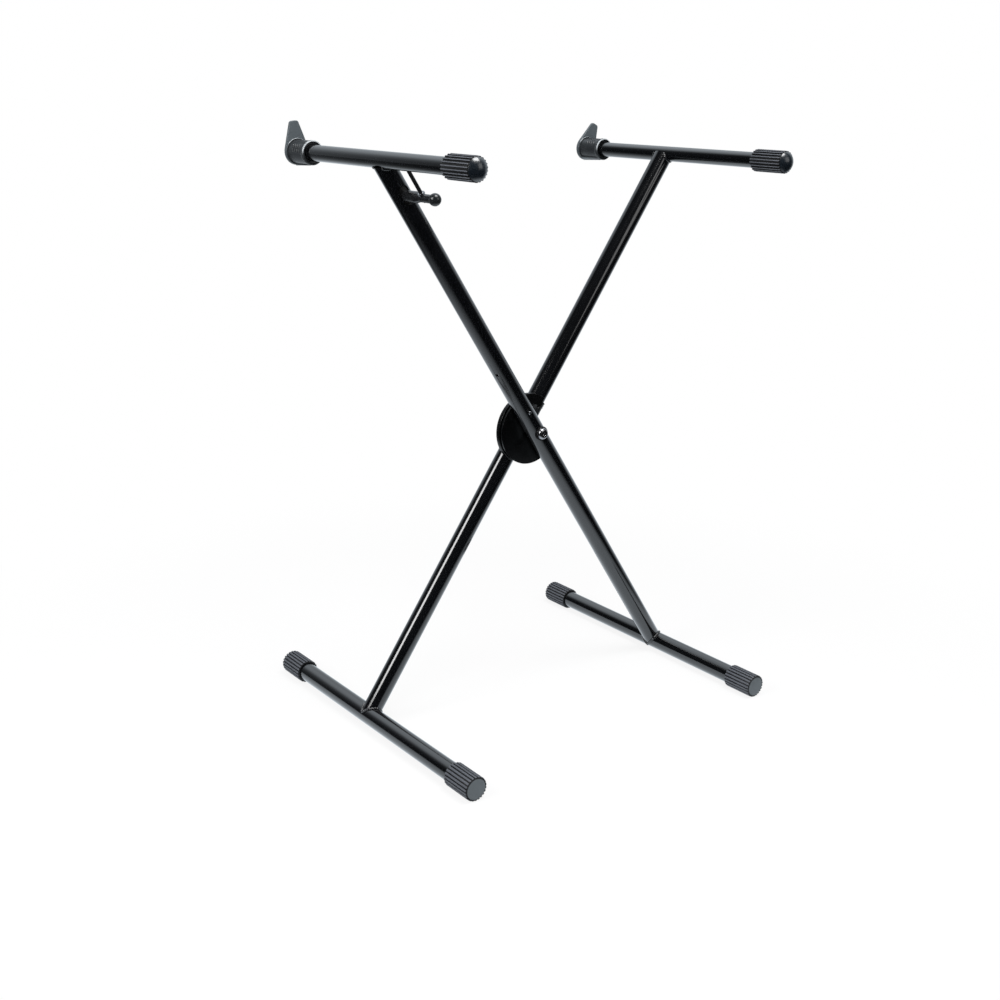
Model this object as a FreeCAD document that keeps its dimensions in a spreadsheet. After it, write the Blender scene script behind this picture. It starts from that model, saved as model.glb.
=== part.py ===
"""Folding X-frame keyboard stand with a trigger lock, as a parametric document.

Stand frame: +X to the right, -Y towards the player, +Z up, origin on the floor below the pivot.
Leg frame: origin on the pivot axis, Z up the leg, Y as in the stand. The front leg runs from the
left arm to the right foot and the rear leg from the right arm to the left foot.
"""
import FreeCAD, Part
import os
import re

import Sketcher

# Driving sizes in millimetres, angles in degrees
SIZES = {
    # welded tube frames: reaches from the pivot, lengths from the plane between the legs
    "leg_angle": 34.2,
    "upper_reach": 477.0,
    "lower_reach": 484.0,
    "leg_spacing": 35.3,
    "leg_od": 28.0,
    "foot_od": 28.0,
    "arm_od": 22.0,
    "tube_wall": 1.5,
    "leg_end_trim": 4.0,
    "weld_size": 3.0,
    "weld_gap": 0.1,
    "foot_front": 248.0,
    "foot_rear": 250.0,
    "arm_front": 221.0,
    "arm_rear": 203.0,
    # rubber end caps on the feet
    "foot_cap_wall": 3.7,
    "foot_cap_length": 51.0,
    "foot_cap_end": 4.0,
    "foot_cap_round": 3.0,
    "cap_slip": 0.15,
    "rib_count": 22,
    "rib_width": 2.8,
    "rib_depth": 1.7,
    "cap_ring": 5.0,
    # rubber grips on the arms, with a domed nose
    "grip_od": 31.2,
    "grip_length": 52.0,
    "grip_ring": 2.5,
    "grip_dome": 13.4,
    # end stops at the back of the arms, with a fin that the keyboard leans on
    "stop_length": 48.0,
    "stop_od": 32.4,
    "stop_rim_od": 33.6,
    "stop_rim_width": 6.0,
    "fin_thickness": 4.2,
    "fin_height": 41.5,
    "fin_base_od": 37.0,
    "fin_tip_width": 14.5,
    "fin_tip_round": 4.0,
    "left_fin_lean": 6.0,
    "right_fin_lean": 25.0,
    # hub plates and lock plate at the crossing
    "front_hub_radius": 52.5,
    "front_hub_thickness": 2.8,
    "front_hub_chord": 12.0,
    "rear_hub_radius": 53.5,
    "rear_hub_thickness": 7.5,
    "rear_hub_chord": 2.0,
    "rear_hub_boss": 26.0,
    "sleeve_od": 31.0,
    "sleeve_top": 47.0,
    "sleeve_bottom": 42.0,
    "sleeve_ridge": 0.5,
    "sleeve_ridge_width": 1.6,
    "sleeve_ridge_count": 3,
    "lock_plate_thickness": 3.0,
    "hub_gap": 0.3,
    "saddle_slip": 0.15,
    "plate_screw_dia": 4.0,
    "plate_screw_head": 7.0,
    "plate_screw_sink": 2.0,
    "plate_screw_length": 8.0,
    "plate_screw_radius": 22.0,
    "plate_screw_spread": 40.0,
    # lock pin and the notches that it drops into
    "pin_dia": 5.0,
    "pin_reach": 41.0,
    "pin_clearance": 0.4,
    "pin_proud": 0.8,
    "engage_drop": 4.4,
    "pull_travel": 7.0,
    "notch_count": 6,
    "notch_pitch": 20.6,
    "fold_notches": 3,
    "notch_play": 0.8,
    # pivot bolt and what it clamps
    "bolt_dia": 8.0,
    "bolt_slip": 0.1,
    "bolt_head_dia": 17.0,
    "bolt_head_height": 4.2,
    "bolt_head_round": 2.0,
    "socket_flats": 5.0,
    "socket_depth": 2.6,
    "washer_dia": 19.0,
    "washer_thickness": 1.4,
    "saddle_dia": 21.0,
    "saddle_thickness": 1.4,
    "saddle_skirt": 2.4,
    "bush_od": 12.0,
    "bush_end_gap": 0.2,
    "nut_flats": 13.0,
    "nut_height": 8.0,
    "bolt_tail": 2.0,
    # trigger below the left arm
    "trigger_drop": 54.6,
    "bar_dia": 15.0,
    "bar_shoulder": 58.0,
    "neck_dia": 11.0,
    "bar_inset": 9.0,
    "ball_dia": 16.4,
    "ball_reach": 93.8,
    "ball_socket": 2.5,
    "guide_rod_dia": 5.2,
    "guide_rod_reach": 69.0,
    "guide_rod_top": 3.0,
    "guide_nut_flats": 8.5,
    "guide_nut_height": 3.0,
    "slot_play": 0.8,
    # lock linkage inside the front leg
    "bore_slip": 0.3,
    "fit_slip": 0.05,
    "slider_length": 34.0,
    "carrier_length": 24.0,
    "pull_rod_dia": 5.0,
    "rod_end_gap": 0.4,
    "rod_seat_in_carrier": 9.0,
    "rod_seat_in_slider": 8.5,
    "spring_od": 16.0,
    "spring_wire": 1.4,
    "spring_length": 65.0,
    "spring_end_gap": 0.1,
    "spring_washer_thickness": 2.0,
    "stop_pin_dia": 5.0,
    "stop_pin_offset": 6.5,
}

doc = FreeCAD.newDocument("keyboard_stand")
sheet = doc.addObject("Spreadsheet::Sheet", "Sizes")
for row, (alias, value) in enumerate(SIZES.items(), start=1):
    sheet.set("A%d" % row, alias)
    sheet.set("B%d" % row, str(value))
    sheet.setAlias("B%d" % row, alias)
doc.recompute()

nodes = []


def cells(text):
    """An expression in which each size's name is bound to its cell."""
    return re.sub(r"[a-z_]+", lambda m: "Sizes." + m[0] if m[0] in SIZES else m[0], text)


def bind(obj, **sizes):
    for name, text in sizes.items():
        obj.setExpression(name, cells(text))


def place(obj, *steps):
    """Chain of moves, each (x, y, z, axis, angle), bound to the sheet."""
    moves = ["placement(vector(%s; %s; %s); rotation(vector(%s); %s))" % step for step in steps]
    bind(obj, Placement=" * ".join(moves))


def move(x="0", y="0", z="0", axis="0; 0; 1", angle="0"):
    return x, y, z, axis, angle


def cylinder(name, radius, length, at=("0", "0", "0"), along="Z"):
    turn = {"Z": ("0; 0; 1", "0"), "Y": ("1; 0; 0", "-90"), "X": ("0; 1; 0", "90")}[along]
    obj = doc.addObject("Part::Cylinder", name)
    bind(obj, Radius=radius, Height=length)
    place(obj, move(*at, *turn))
    return obj


def box(name, size, at):
    obj = doc.addObject("Part::Box", name)
    bind(obj, Length=size[0], Width=size[1], Height=size[2])
    place(obj, move(*at))
    return obj


def hexagon(name, flats, height, at, along="Z"):
    obj = doc.addObject("Part::Prism", name)
    obj.Polygon = 6
    bind(obj, Circumradius="(%s) / sqrt(3)" % flats, Height=height)
    place(obj, move(*at, *{"Z": ("0; 0; 1", "0"), "Y": ("1; 0; 0", "-90")}[along]))
    return obj


def fuse(name, parts):
    obj = doc.addObject("Part::MultiFuse", name)
    obj.Shapes = parts
    obj.Refine = True
    return obj


def cut(name, base, tools):
    obj = doc.addObject("Part::Cut", name)
    obj.Base = base
    obj.Tool = tools[0] if len(tools) == 1 else fuse(name + "_tools", tools)
    obj.Refine = True
    return obj


def common(name, first, second):
    obj = doc.addObject("Part::Common", name)
    obj.Base = first
    obj.Tool = second
    return obj


def node(obj, label, *frame):
    """Mark an object as one sub-part, under its own label, set in a frame of the stand."""
    obj.Label = label
    if frame:
        place(obj, *frame)
    nodes.append(obj)
    return obj


def origin_part(body, role):
    return next(part for part in body.Origin.OriginFeatures if part.Role == role)


def sketch_on(body, name, role):
    sketch = body.newObject("Sketcher::SketchObject", name)
    sketch.AttachmentSupport = (origin_part(body, role), [""])
    sketch.MapMode = "FlatFace"
    return sketch


def fix_point(sketch, geometry, point, x, y):
    """Hold one point of a sketch at bound coordinates."""
    for kind, text in (("DistanceX", x), ("DistanceY", y)):
        index = sketch.addConstraint(Sketcher.Constraint(kind, geometry, point, 1.0))
        sketch.renameConstraint(index, "%s_%d_%d" % (kind, geometry, point))
        bind(sketch, **{"Constraints.%s_%d_%d" % (kind, geometry, point): text})


def polygon(sketch, points):
    """Closed outline of straight lines through bound points."""
    count = len(points)
    turn = FreeCAD.Rotation(FreeCAD.Vector(0, 0, 1), 360.0 / count)
    corner = FreeCAD.Vector(1, 0, 0)
    for index in range(count):
        following = turn.multVec(corner)
        sketch.addGeometry(Part.LineSegment(corner, following))
        corner = following
    for index, (x, y) in enumerate(points):
        sketch.addConstraint(Sketcher.Constraint("Coincident", index, 2, (index + 1) % count, 1))
        fix_point(sketch, index, 1, x, y)


def primitive(body, kind, name, z="0", **sizes):
    """A PartDesign solid on the body's own Z axis, raised by z."""
    obj = body.newObject("PartDesign::" + kind, name)
    bind(obj, **sizes)
    place(obj, move(z=z))
    return obj


# Frames of the two legs and shared places, as expressions
CAP_RADIUS = "(foot_od / 2 + foot_cap_wall)"
PIVOT_HEIGHT = "(%s + lower_reach * cos(leg_angle * 1 deg))" % CAP_RADIUS
FOOT_OFFSET = "lower_reach * sin(leg_angle * 1 deg)"
# The crossing stands a little off the middle of the feet, where the origin is
CROSSING_Y = "(foot_front - foot_rear) / 2"
FRONT_LEG = move("0", CROSSING_Y, PIVOT_HEIGHT, "0; 1; 0", "-leg_angle")
REAR_LEG = move("0", CROSSING_Y, PIVOT_HEIGHT, "0; 1; 0", "leg_angle")
FRONT_AXIS = "-leg_spacing / 2"
REAR_AXIS = "leg_spacing / 2"
LEG_BORE = "(leg_od / 2 - tube_wall)"
TRIGGER_AT = "(upper_reach - trigger_drop)"
FOOT_TUBE_FRONT = "(foot_front - foot_cap_end)"
FOOT_TUBE_REAR = "(foot_rear - foot_cap_end)"
ARM_TUBE_REAR = "(arm_rear - fin_thickness)"
PIN_HOLE = "(pin_dia + slot_play) / 2"
PIN_LOW = "(pin_reach - engage_drop)"
PIN_HIGH = "(pin_reach + pull_travel)"
BOLT_HOLE = "bolt_dia / 2 + bolt_slip"
STOP_PIN_AT = ("(pin_reach + carrier_length / 2 + spring_length + spring_washer_thickness"
               " + stop_pin_dia / 2 + 3 * spring_end_gap)")


def leg_tube(side, axis, holes):
    """Leg tube, coped on to its foot and trimmed around its arm."""
    body = cylinder(side + "_leg_skin", "leg_od / 2", "lower_reach + upper_reach - leg_end_trim",
                    ("0", axis, "-lower_reach"))
    bore = cylinder(side + "_leg_bore", LEG_BORE, "lower_reach + upper_reach", ("0", axis, "-lower_reach"))
    foot = cylinder(side + "_foot_cope", "foot_od / 2 + weld_gap", "2 * leg_od",
                    ("0", axis + " - leg_od", "-lower_reach"), "Y")
    arm = cylinder(side + "_arm_cope", "arm_od / 2 + weld_gap", "2 * leg_od",
                   ("0", axis + " - leg_od", "upper_reach"), "Y")
    return cut(side + "_leg", body, [bore, foot, arm] + holes)


def cross_tube(name, diameter, front, rear, height, holes):
    """Straight tube along Y, in its leg's frame."""
    length = "%s + %s" % (front, rear)
    start = ("0", "-" + front, height)
    skin = cylinder(name + "_skin", diameter + " / 2", length, start, "Y")
    bore = cylinder(name + "_bore", diameter + " / 2 - tube_wall", length, start, "Y")
    return cut(name, skin, [bore] + holes)


def weld_bead(name, axis, start, length, cross_diameter, cross_height):
    """Fillet weld around a leg where it meets a cross tube."""
    cross_at = ("0", axis + " - leg_od", cross_height)
    around_leg = cylinder(name + "_leg_fat", "leg_od / 2 + weld_size", length, ("0", axis, start))
    around_cross = cylinder(name + "_cross_fat", cross_diameter + " / 2 + weld_size", "2 * leg_od",
                            cross_at, "Y")
    leg = cylinder(name + "_leg_cut", "leg_od / 2 + weld_gap", length, ("0", axis, start))
    cross = cylinder(name + "_cross_cut", cross_diameter + " / 2 + weld_gap", "2 * leg_od", cross_at, "Y")
    return cut(name, common(name + "_blank", around_leg, around_cross), [leg, cross])


def add_ribs(body, crest, length):
    """Flat-crested ribs around the body's Z axis, from the rim to the smooth ring."""
    sketch = sketch_on(body, body.Name + "_rib_outline", "XY_Plane")
    root = "%s - 1.5 * rib_depth" % crest
    polygon(sketch, [("-rib_width / 2", root), ("rib_width / 2", root),
                     ("rib_width / 2", crest), ("-rib_width / 2", crest)])
    rib = body.newObject("PartDesign::Pad", body.Name + "_rib")
    rib.Profile = sketch
    bind(rib, Length=length)
    doc.recompute()
    ribs = body.newObject("PartDesign::PolarPattern", body.Name + "_ribs")
    ribs.Originals = [rib]
    ribs.Axis = (origin_part(body, "Z_Axis"), [""])
    ribs.Angle = 360
    bind(ribs, Occurrences="rib_count")
    body.Tip = ribs


def round_edge(body, name, radius, z, edge_radius):
    """Round the circular edges of the body at one height and radius."""
    doc.recompute()
    base = body.Tip
    rims = []
    for number, edge in enumerate(base.Shape.Edges, start=1):
        curve = edge.Curve
        if isinstance(curve, Part.Circle) and abs(curve.Radius - edge_radius) < 1e-6:
            if abs(curve.Center.z - z) < 1e-6:
                rims.append("Edge%d" % number)
    fillet = body.newObject("PartDesign::Fillet", name)
    fillet.Base = (base, rims)
    bind(fillet, Radius=radius)
    body.Tip = fillet


def foot_cap(name):
    """Ribbed rubber cap pushed over the end of a foot, open at z = 0."""
    body = doc.addObject("PartDesign::Body", name)
    primitive(body, "AdditiveCylinder", name + "_core", Radius=CAP_RADIUS + " - rib_depth",
              Height="foot_cap_length")
    primitive(body, "AdditiveCylinder", name + "_ring", z="foot_cap_length - cap_ring",
              Radius=CAP_RADIUS, Height="cap_ring")
    round_edge(body, name + "_round", "foot_cap_round", sheet.foot_cap_length,
               sheet.foot_od / 2 + sheet.foot_cap_wall)
    add_ribs(body, CAP_RADIUS, "foot_cap_length - cap_ring")
    primitive(body, "SubtractiveCylinder", name + "_bore", Radius="foot_od / 2 + cap_slip",
              Height="foot_cap_length - foot_cap_end")
    return body


def arm_grip(name):
    """Ribbed rubber grip with a domed nose, open at z = 0."""
    body = doc.addObject("PartDesign::Body", name)
    primitive(body, "AdditiveCylinder", name + "_core", Radius="grip_od / 2 - rib_depth",
              Height="grip_length")
    primitive(body, "AdditiveCylinder", name + "_ring", z="grip_length - grip_ring",
              Radius="grip_od / 2", Height="grip_ring")
    primitive(body, "AdditiveSphere", name + "_dome", z="grip_length", Radius="grip_dome")
    add_ribs(body, "grip_od / 2", "grip_length - grip_ring")
    primitive(body, "SubtractiveCylinder", name + "_bore", Radius="arm_od / 2 + cap_slip",
              Height="grip_length")
    return body


def arm_stop(name):
    """Moulded end stop: a barrel on the tube and a round back with a fin at its closed end, open at z = 0."""
    body = doc.addObject("PartDesign::Body", name)
    primitive(body, "AdditiveCylinder", name + "_barrel", Radius="stop_od / 2", Height="stop_length")
    primitive(body, "AdditiveCylinder", name + "_rim", Radius="stop_rim_od / 2", Height="stop_rim_width")
    primitive(body, "AdditiveCylinder", name + "_back", z="stop_length - fin_thickness",
              Radius="fin_base_od / 2", Height="fin_thickness")
    sketch = sketch_on(body, name + "_fin_outline", "XY_Plane")
    bind(sketch, **{"AttachmentOffset.Base.z": "stop_length - fin_thickness"})
    # The fin's flanks leave the round back where they are tangent to it
    tip_reach = "sqrt(fin_height ^ 2 + fin_tip_width ^ 2 / 4)"
    leave = "acos(fin_base_od / 2 / %s) + atan(fin_tip_width / 2 / fin_height)" % tip_reach
    side = "fin_base_od / 2 * sin(%s)" % leave
    rise = "fin_base_od / 2 * cos(%s)" % leave
    polygon(sketch, [("-(%s)" % side, rise), (side, rise),
                     ("fin_tip_width / 2", "fin_height"), ("-fin_tip_width / 2", "fin_height")])
    fin = body.newObject("PartDesign::Pad", name + "_fin")
    fin.Profile = sketch
    bind(fin, Length="fin_thickness")
    doc.recompute()
    corners = []
    for number, edge in enumerate(fin.Shape.Edges, start=1):
        ends = [vertex.Point for vertex in edge.Vertexes]
        if len(ends) == 2 and all(abs(end.y - sheet.fin_height) < 1e-6 for end in ends):
            if abs(ends[0].x - ends[1].x) < 1e-6:
                corners.append("Edge%d" % number)
    tip = body.newObject("PartDesign::Fillet", name + "_tip")
    tip.Base = (fin, corners)
    bind(tip, Radius="fin_tip_round")
    body.Tip = tip
    primitive(body, "SubtractiveCylinder", name + "_bore", Radius="arm_od / 2 + cap_slip",
              Height="stop_length - fin_thickness")
    return body


def half_moon(name, radius, thickness, start):
    """Disc cut off along the rear leg, with a round boss left around the bolt."""
    disc = cylinder(name + "_round", radius, thickness, ("0", start, "0"), "Y")
    chord = box(name + "_chord", (radius, thickness, "2 * " + radius),
                ("rear_hub_chord", start, "-" + radius))
    boss = cylinder(name + "_boss", "rear_hub_boss / 2", thickness, ("0", start, "0"), "Y")
    return fuse(name, [cut(name + "_half", disc, [chord]), boss])


def saddle_washer(name, seat_radius, seat_axis, side):
    """Disc that fits the round of a tube on one side and is flat on the other."""
    seat = "%s %s %s" % (seat_axis, side, seat_radius)
    start = "%s - saddle_thickness" % seat if side == "-" else "%s - saddle_skirt" % seat
    height = "saddle_thickness + saddle_skirt"
    blank = cylinder(name + "_blank", "saddle_dia / 2", height, ("0", start, "0"), "Y")
    tube = cylinder(name + "_seat", seat_radius + " + fit_slip", "2 * saddle_dia",
                    ("0", seat_axis, "-saddle_dia"))
    hole = cylinder(name + "_hole", BOLT_HOLE, height, ("0", start, "0"), "Y")
    return cut(name, blank, [tube, hole])


def pivot_bush(name, axis):
    """Spacer that keeps the bolt from crushing its tube."""
    half = "(sqrt(%s ^ 2 - bush_od ^ 2 / 4) - bush_end_gap)" % LEG_BORE
    start = "%s - %s" % (axis, half)
    skin = cylinder(name + "_skin", "bush_od / 2", "2 * " + half, ("0", start, "0"), "Y")
    bore = cylinder(name + "_bore", BOLT_HOLE, "2 * " + half, ("0", start, "0"), "Y")
    return cut(name, skin, [bore])


# Holes and slots in the front leg: pivot, lock pin, trigger bar and spring stops
front_holes = [
    cylinder("front_pivot_hole", BOLT_HOLE, "2 * leg_od", ("0", FRONT_AXIS + " - leg_od", "0"), "Y"),
    box("pin_slot", ("2 * " + PIN_HOLE, "2 * leg_od", "engage_drop + pull_travel"),
        ("-" + PIN_HOLE, FRONT_AXIS + " - leg_od", PIN_LOW)),
    cylinder("pin_slot_low", PIN_HOLE, "2 * leg_od", ("0", FRONT_AXIS + " - leg_od", PIN_LOW), "Y"),
    cylinder("pin_slot_high", PIN_HOLE, "2 * leg_od", ("0", FRONT_AXIS + " - leg_od", PIN_HIGH), "Y"),
    box("bar_slot", ("bar_dia + slot_play", "leg_od", "engage_drop + pull_travel"),
        ("-(bar_dia + slot_play) / 2", FRONT_AXIS + " - leg_od", TRIGGER_AT + " - engage_drop")),
    cylinder("bar_slot_low", "(bar_dia + slot_play) / 2", "leg_od",
             ("0", FRONT_AXIS + " - leg_od", TRIGGER_AT + " - engage_drop"), "Y"),
    cylinder("bar_slot_high", "(bar_dia + slot_play) / 2", "leg_od",
             ("0", FRONT_AXIS + " - leg_od", TRIGGER_AT + " + pull_travel"), "Y"),
]
for number, sign in enumerate("-+", start=1):
    stop_axis = "%s %s stop_pin_offset" % (FRONT_AXIS, sign)
    front_holes.append(cylinder("stop_pin_hole_%d" % number, "stop_pin_dia / 2 + fit_slip", "2 * leg_od",
                                ("-leg_od", stop_axis, STOP_PIN_AT), "X"))
rear_holes = [cylinder("rear_pivot_hole", BOLT_HOLE, "2 * leg_od", ("0", REAR_AXIS + " - leg_od", "0"), "Y")]
guide_hole = cylinder("guide_hole", "guide_rod_dia / 2 + slot_play / 2", "arm_od",
                      ("0", "-guide_rod_reach", "upper_reach - arm_od"))

# The two welded frames, each with a leg, an arm, a foot and their end pieces
FRAMES = {
    "front": (FRONT_LEG, FRONT_AXIS, front_holes, "left", [guide_hole], "leg_angle - left_fin_lean",
              "right", "+"),
    "rear": (REAR_LEG, REAR_AXIS, rear_holes, "right", [], "right_fin_lean - leg_angle",
             "left", "-"),
}
for side, (frame, axis, leg_holes, arm_side, arm_holes, fin_turn, foot_side, foot_sign) in FRAMES.items():
    node(leg_tube(side, axis, leg_holes), side + "_leg_tube", frame)
    arm = cross_tube(arm_side + "_arm", "arm_od", "arm_front", ARM_TUBE_REAR, "upper_reach", arm_holes)
    node(arm, arm_side + "_arm_tube", frame)
    foot = cross_tube(foot_side + "_foot", "foot_od", FOOT_TUBE_FRONT, FOOT_TUBE_REAR, "-lower_reach", [])
    node(foot, foot_side + "_foot_tube", frame)
    beads = doc.addObject("Part::Compound", side + "_welds")
    beads.Links = [
        weld_bead(side + "_foot_weld", axis, "-lower_reach", "lower_reach", "foot_od", "-lower_reach"),
        weld_bead(side + "_arm_weld", axis, "0", "upper_reach - leg_end_trim", "arm_od", "upper_reach"),
    ]
    node(beads, side + "_frame_welds", frame)

    to_front = move("0", "-arm_front + grip_length", "upper_reach", "1; 0; 0", "90")
    node(arm_grip(arm_side + "_grip"), arm_side + "_arm_grip", frame, to_front)
    # The stop's own Z runs to the back, and its fin is turned on the tube to its lean from upright
    to_back = move("0", "arm_rear - stop_length", "upper_reach", "1; 0; 0", "-90")
    fin_up = move(angle="180 + " + fin_turn)
    node(arm_stop(arm_side + "_stop"), arm_side + "_arm_stop", frame, to_back, fin_up)

    foot_x = foot_sign + FOOT_OFFSET
    front_y = CROSSING_Y + " - foot_front + foot_cap_length"
    front_end = move(foot_x, front_y, CAP_RADIUS, "1; 0; 0", "90")
    node(foot_cap(foot_side + "_front_cap"), foot_side + "_foot_front_cap", front_end)
    rear_y = CROSSING_Y + " + foot_rear - foot_cap_length"
    rear_end = move(foot_x, rear_y, CAP_RADIUS, "1; 0; 0", "-90")
    node(foot_cap(foot_side + "_rear_cap"), foot_side + "_foot_rear_cap", rear_end)

# Front hub: half-moon plate behind the front leg, with a slot for the lock pin
PLATE_FRONT = "-lock_plate_thickness / 2"
PLATE_BACK = "lock_plate_thickness / 2"
FRONT_HUB_AT = "%s - hub_gap - front_hub_thickness" % PLATE_FRONT
front_disc = cylinder("front_disc", "front_hub_radius", "front_hub_thickness", ("0", FRONT_HUB_AT, "0"), "Y")
front_hub_tools = [
    box("front_chord", ("front_hub_radius", "front_hub_thickness", "2 * front_hub_radius"),
        ("front_hub_chord", FRONT_HUB_AT, "-front_hub_radius")),
    cylinder("front_saddle", "leg_od / 2 + saddle_slip", "2 * front_hub_radius",
             ("0", FRONT_AXIS, "-front_hub_radius")),
    cylinder("front_hub_hole", BOLT_HOLE, "front_hub_thickness", ("0", FRONT_HUB_AT, "0"), "Y"),
    box("hub_pin_slot", ("2 * " + PIN_HOLE, "front_hub_thickness", "front_hub_radius"),
        ("-" + PIN_HOLE, FRONT_HUB_AT, PIN_LOW)),
    cylinder("hub_pin_slot_low", PIN_HOLE, "front_hub_thickness", ("0", FRONT_HUB_AT, PIN_LOW), "Y"),
]
node(cut("front_hub_cut", front_disc, front_hub_tools), "front_hub", FRONT_LEG)

# Lock plate: steel half disc on the rear hub, notched where the pin drops in
PLATE_RADIUS = "(pin_reach - pin_dia / 2 - pin_clearance)"
NOTCH_HALF = "(pin_dia + notch_play) / 2"
plate_blank = half_moon("plate", PLATE_RADIUS, "lock_plate_thickness", PLATE_FRONT)
plate_tools = [cylinder("plate_hole", BOLT_HOLE, "lock_plate_thickness", ("0", PLATE_FRONT, "0"), "Y")]
for number in range(int(sheet.notch_count)):
    angle = "-(2 * leg_angle + (%d - fold_notches) * notch_pitch)" % number
    direction = move(axis="0; 1; 0", angle=angle)
    mouth_size = ("2 * " + NOTCH_HALF, "lock_plate_thickness", "pin_reach")
    mouth = box("notch_%d" % number, mouth_size, ("0", "0", "0"))
    place(mouth, direction, move("-" + NOTCH_HALF, PLATE_FRONT, PIN_LOW))
    seat = cylinder("notch_seat_%d" % number, NOTCH_HALF, "lock_plate_thickness")
    place(seat, direction, move("0", PLATE_FRONT, PIN_LOW, "1; 0; 0", "-90"))
    plate_tools += [mouth, seat]

# Rear hub: half-moon boss with a sleeve around the rear leg
HUB_BACK = PLATE_BACK + " + rear_hub_thickness"
rear_disc = half_moon("rear_disc", "rear_hub_radius", "rear_hub_thickness", PLATE_BACK)
sleeve = cylinder("sleeve", "sleeve_od / 2", "sleeve_bottom + sleeve_top", ("0", REAR_AXIS, "-sleeve_bottom"))
ridges = []
for number in range(int(sheet.sleeve_ridge_count)):
    ridge_at = "sleeve_top - (2 * %d + 1) * sleeve_ridge_width" % number
    ridges.append(cylinder("sleeve_ridge_%d" % number, "sleeve_od / 2 + sleeve_ridge", "sleeve_ridge_width",
                           ("0", REAR_AXIS, ridge_at)))
hub_tools = [
    cylinder("rear_saddle", "leg_od / 2 + saddle_slip", "2 * (sleeve_bottom + sleeve_top)",
             ("0", REAR_AXIS, "-sleeve_bottom - sleeve_top")),
    cylinder("rear_hub_hole", BOLT_HOLE, "2 * sleeve_od", ("0", "0", "0"), "Y"),
    box("hub_face", ("2 * rear_hub_radius", "sleeve_od", "4 * rear_hub_radius"),
        ("-rear_hub_radius", PLATE_BACK + " - sleeve_od", "-2 * rear_hub_radius")),
]

# Countersunk screws that hold the lock plate on the rear hub
screws = []
SCREW_HEAD = "plate_screw_head / 2"
for number in range(3):
    turn = move(axis="0; 1; 0", angle="-(90 + %d * plate_screw_spread)" % (number - 1))
    seat_at = move("0", PLATE_FRONT, "plate_screw_radius", "1; 0; 0", "-90")
    for name, slip, target in (("screw", "0", None), ("screw_seat", "fit_slip", (plate_tools, hub_tools))):
        head = doc.addObject("Part::Cone", "%s_head_%d" % (name, number))
        bind(head, Radius1=SCREW_HEAD + " + " + slip, Radius2="plate_screw_dia / 2 + " + slip,
             Height="plate_screw_sink")
        shank = cylinder("%s_shank_%d" % (name, number), "plate_screw_dia / 2 + " + slip,
                         "plate_screw_length + " + slip)
        shape = fuse("%s_%d" % (name, number), [head, shank])
        place(shape, turn, seat_at)
        if target:
            for tools in target:
                tools.append(shape)
        else:
            screws.append(shape)
node(cut("lock_plate_cut", plate_blank, plate_tools), "lock_plate", REAR_LEG)
rear_hub_blank = fuse("rear_hub_blank", [rear_disc, sleeve] + ridges)
node(cut("rear_hub_cut", rear_hub_blank, hub_tools), "rear_hub", REAR_LEG)
screw_group = doc.addObject("Part::Compound", "plate_screws")
screw_group.Links = screws
node(screw_group, "lock_plate_screws", REAR_LEG)

# Pivot: saddle washers, spacers, socket-head bolt, flat washer and lock nut
HEAD_SEAT = "(%s - leg_od / 2 - saddle_thickness - washer_thickness)" % FRONT_AXIS
NUT_SEAT = "(%s + sleeve_od / 2 + saddle_thickness)" % REAR_AXIS
node(saddle_washer("front_saddle_cut", "leg_od / 2", FRONT_AXIS, "-"), "front_saddle_washer", FRONT_LEG)
node(saddle_washer("rear_saddle_cut", "sleeve_od / 2", REAR_AXIS, "+"), "rear_saddle_washer", REAR_LEG)
node(pivot_bush("front_bush", FRONT_AXIS), "front_pivot_bush", FRONT_LEG)
node(pivot_bush("rear_bush", REAR_AXIS), "rear_pivot_bush", REAR_LEG)
washer = cut(
    "washer_cut",
    cylinder("washer_blank", "washer_dia / 2", "washer_thickness", ("0", HEAD_SEAT, "0"), "Y"),
    [cylinder("washer_hole", BOLT_HOLE, "washer_thickness", ("0", HEAD_SEAT, "0"), "Y")],
)
node(washer, "bolt_head_washer", REAR_LEG)

bolt = doc.addObject("PartDesign::Body", "bolt")
primitive(bolt, "AdditiveCylinder", "bolt_head", z="-bolt_head_height", Radius="bolt_head_dia / 2",
          Height="bolt_head_height")
round_edge(bolt, "bolt_head_edge", "bolt_head_round", -sheet.bolt_head_height, sheet.bolt_head_dia / 2)
primitive(bolt, "AdditiveCylinder", "bolt_shank", Radius="bolt_dia / 2",
          Height="%s - %s + nut_height + bolt_tail" % (NUT_SEAT, HEAD_SEAT))
primitive(bolt, "SubtractivePrism", "bolt_socket", z="-bolt_head_height",
          Circumradius="socket_flats / sqrt(3)", Height="socket_depth")
node(bolt, "pivot_bolt", REAR_LEG, move("0", HEAD_SEAT, "0", "1; 0; 0", "-90"))
nut = cut(
    "nut_cut",
    hexagon("nut_blank", "nut_flats", "nut_height", ("0", NUT_SEAT, "0"), "Y"),
    [cylinder("nut_bore", "bolt_dia / 2 + fit_slip", "nut_height", ("0", NUT_SEAT, "0"), "Y")],
)
node(nut, "pivot_lock_nut", REAR_LEG)

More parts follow.
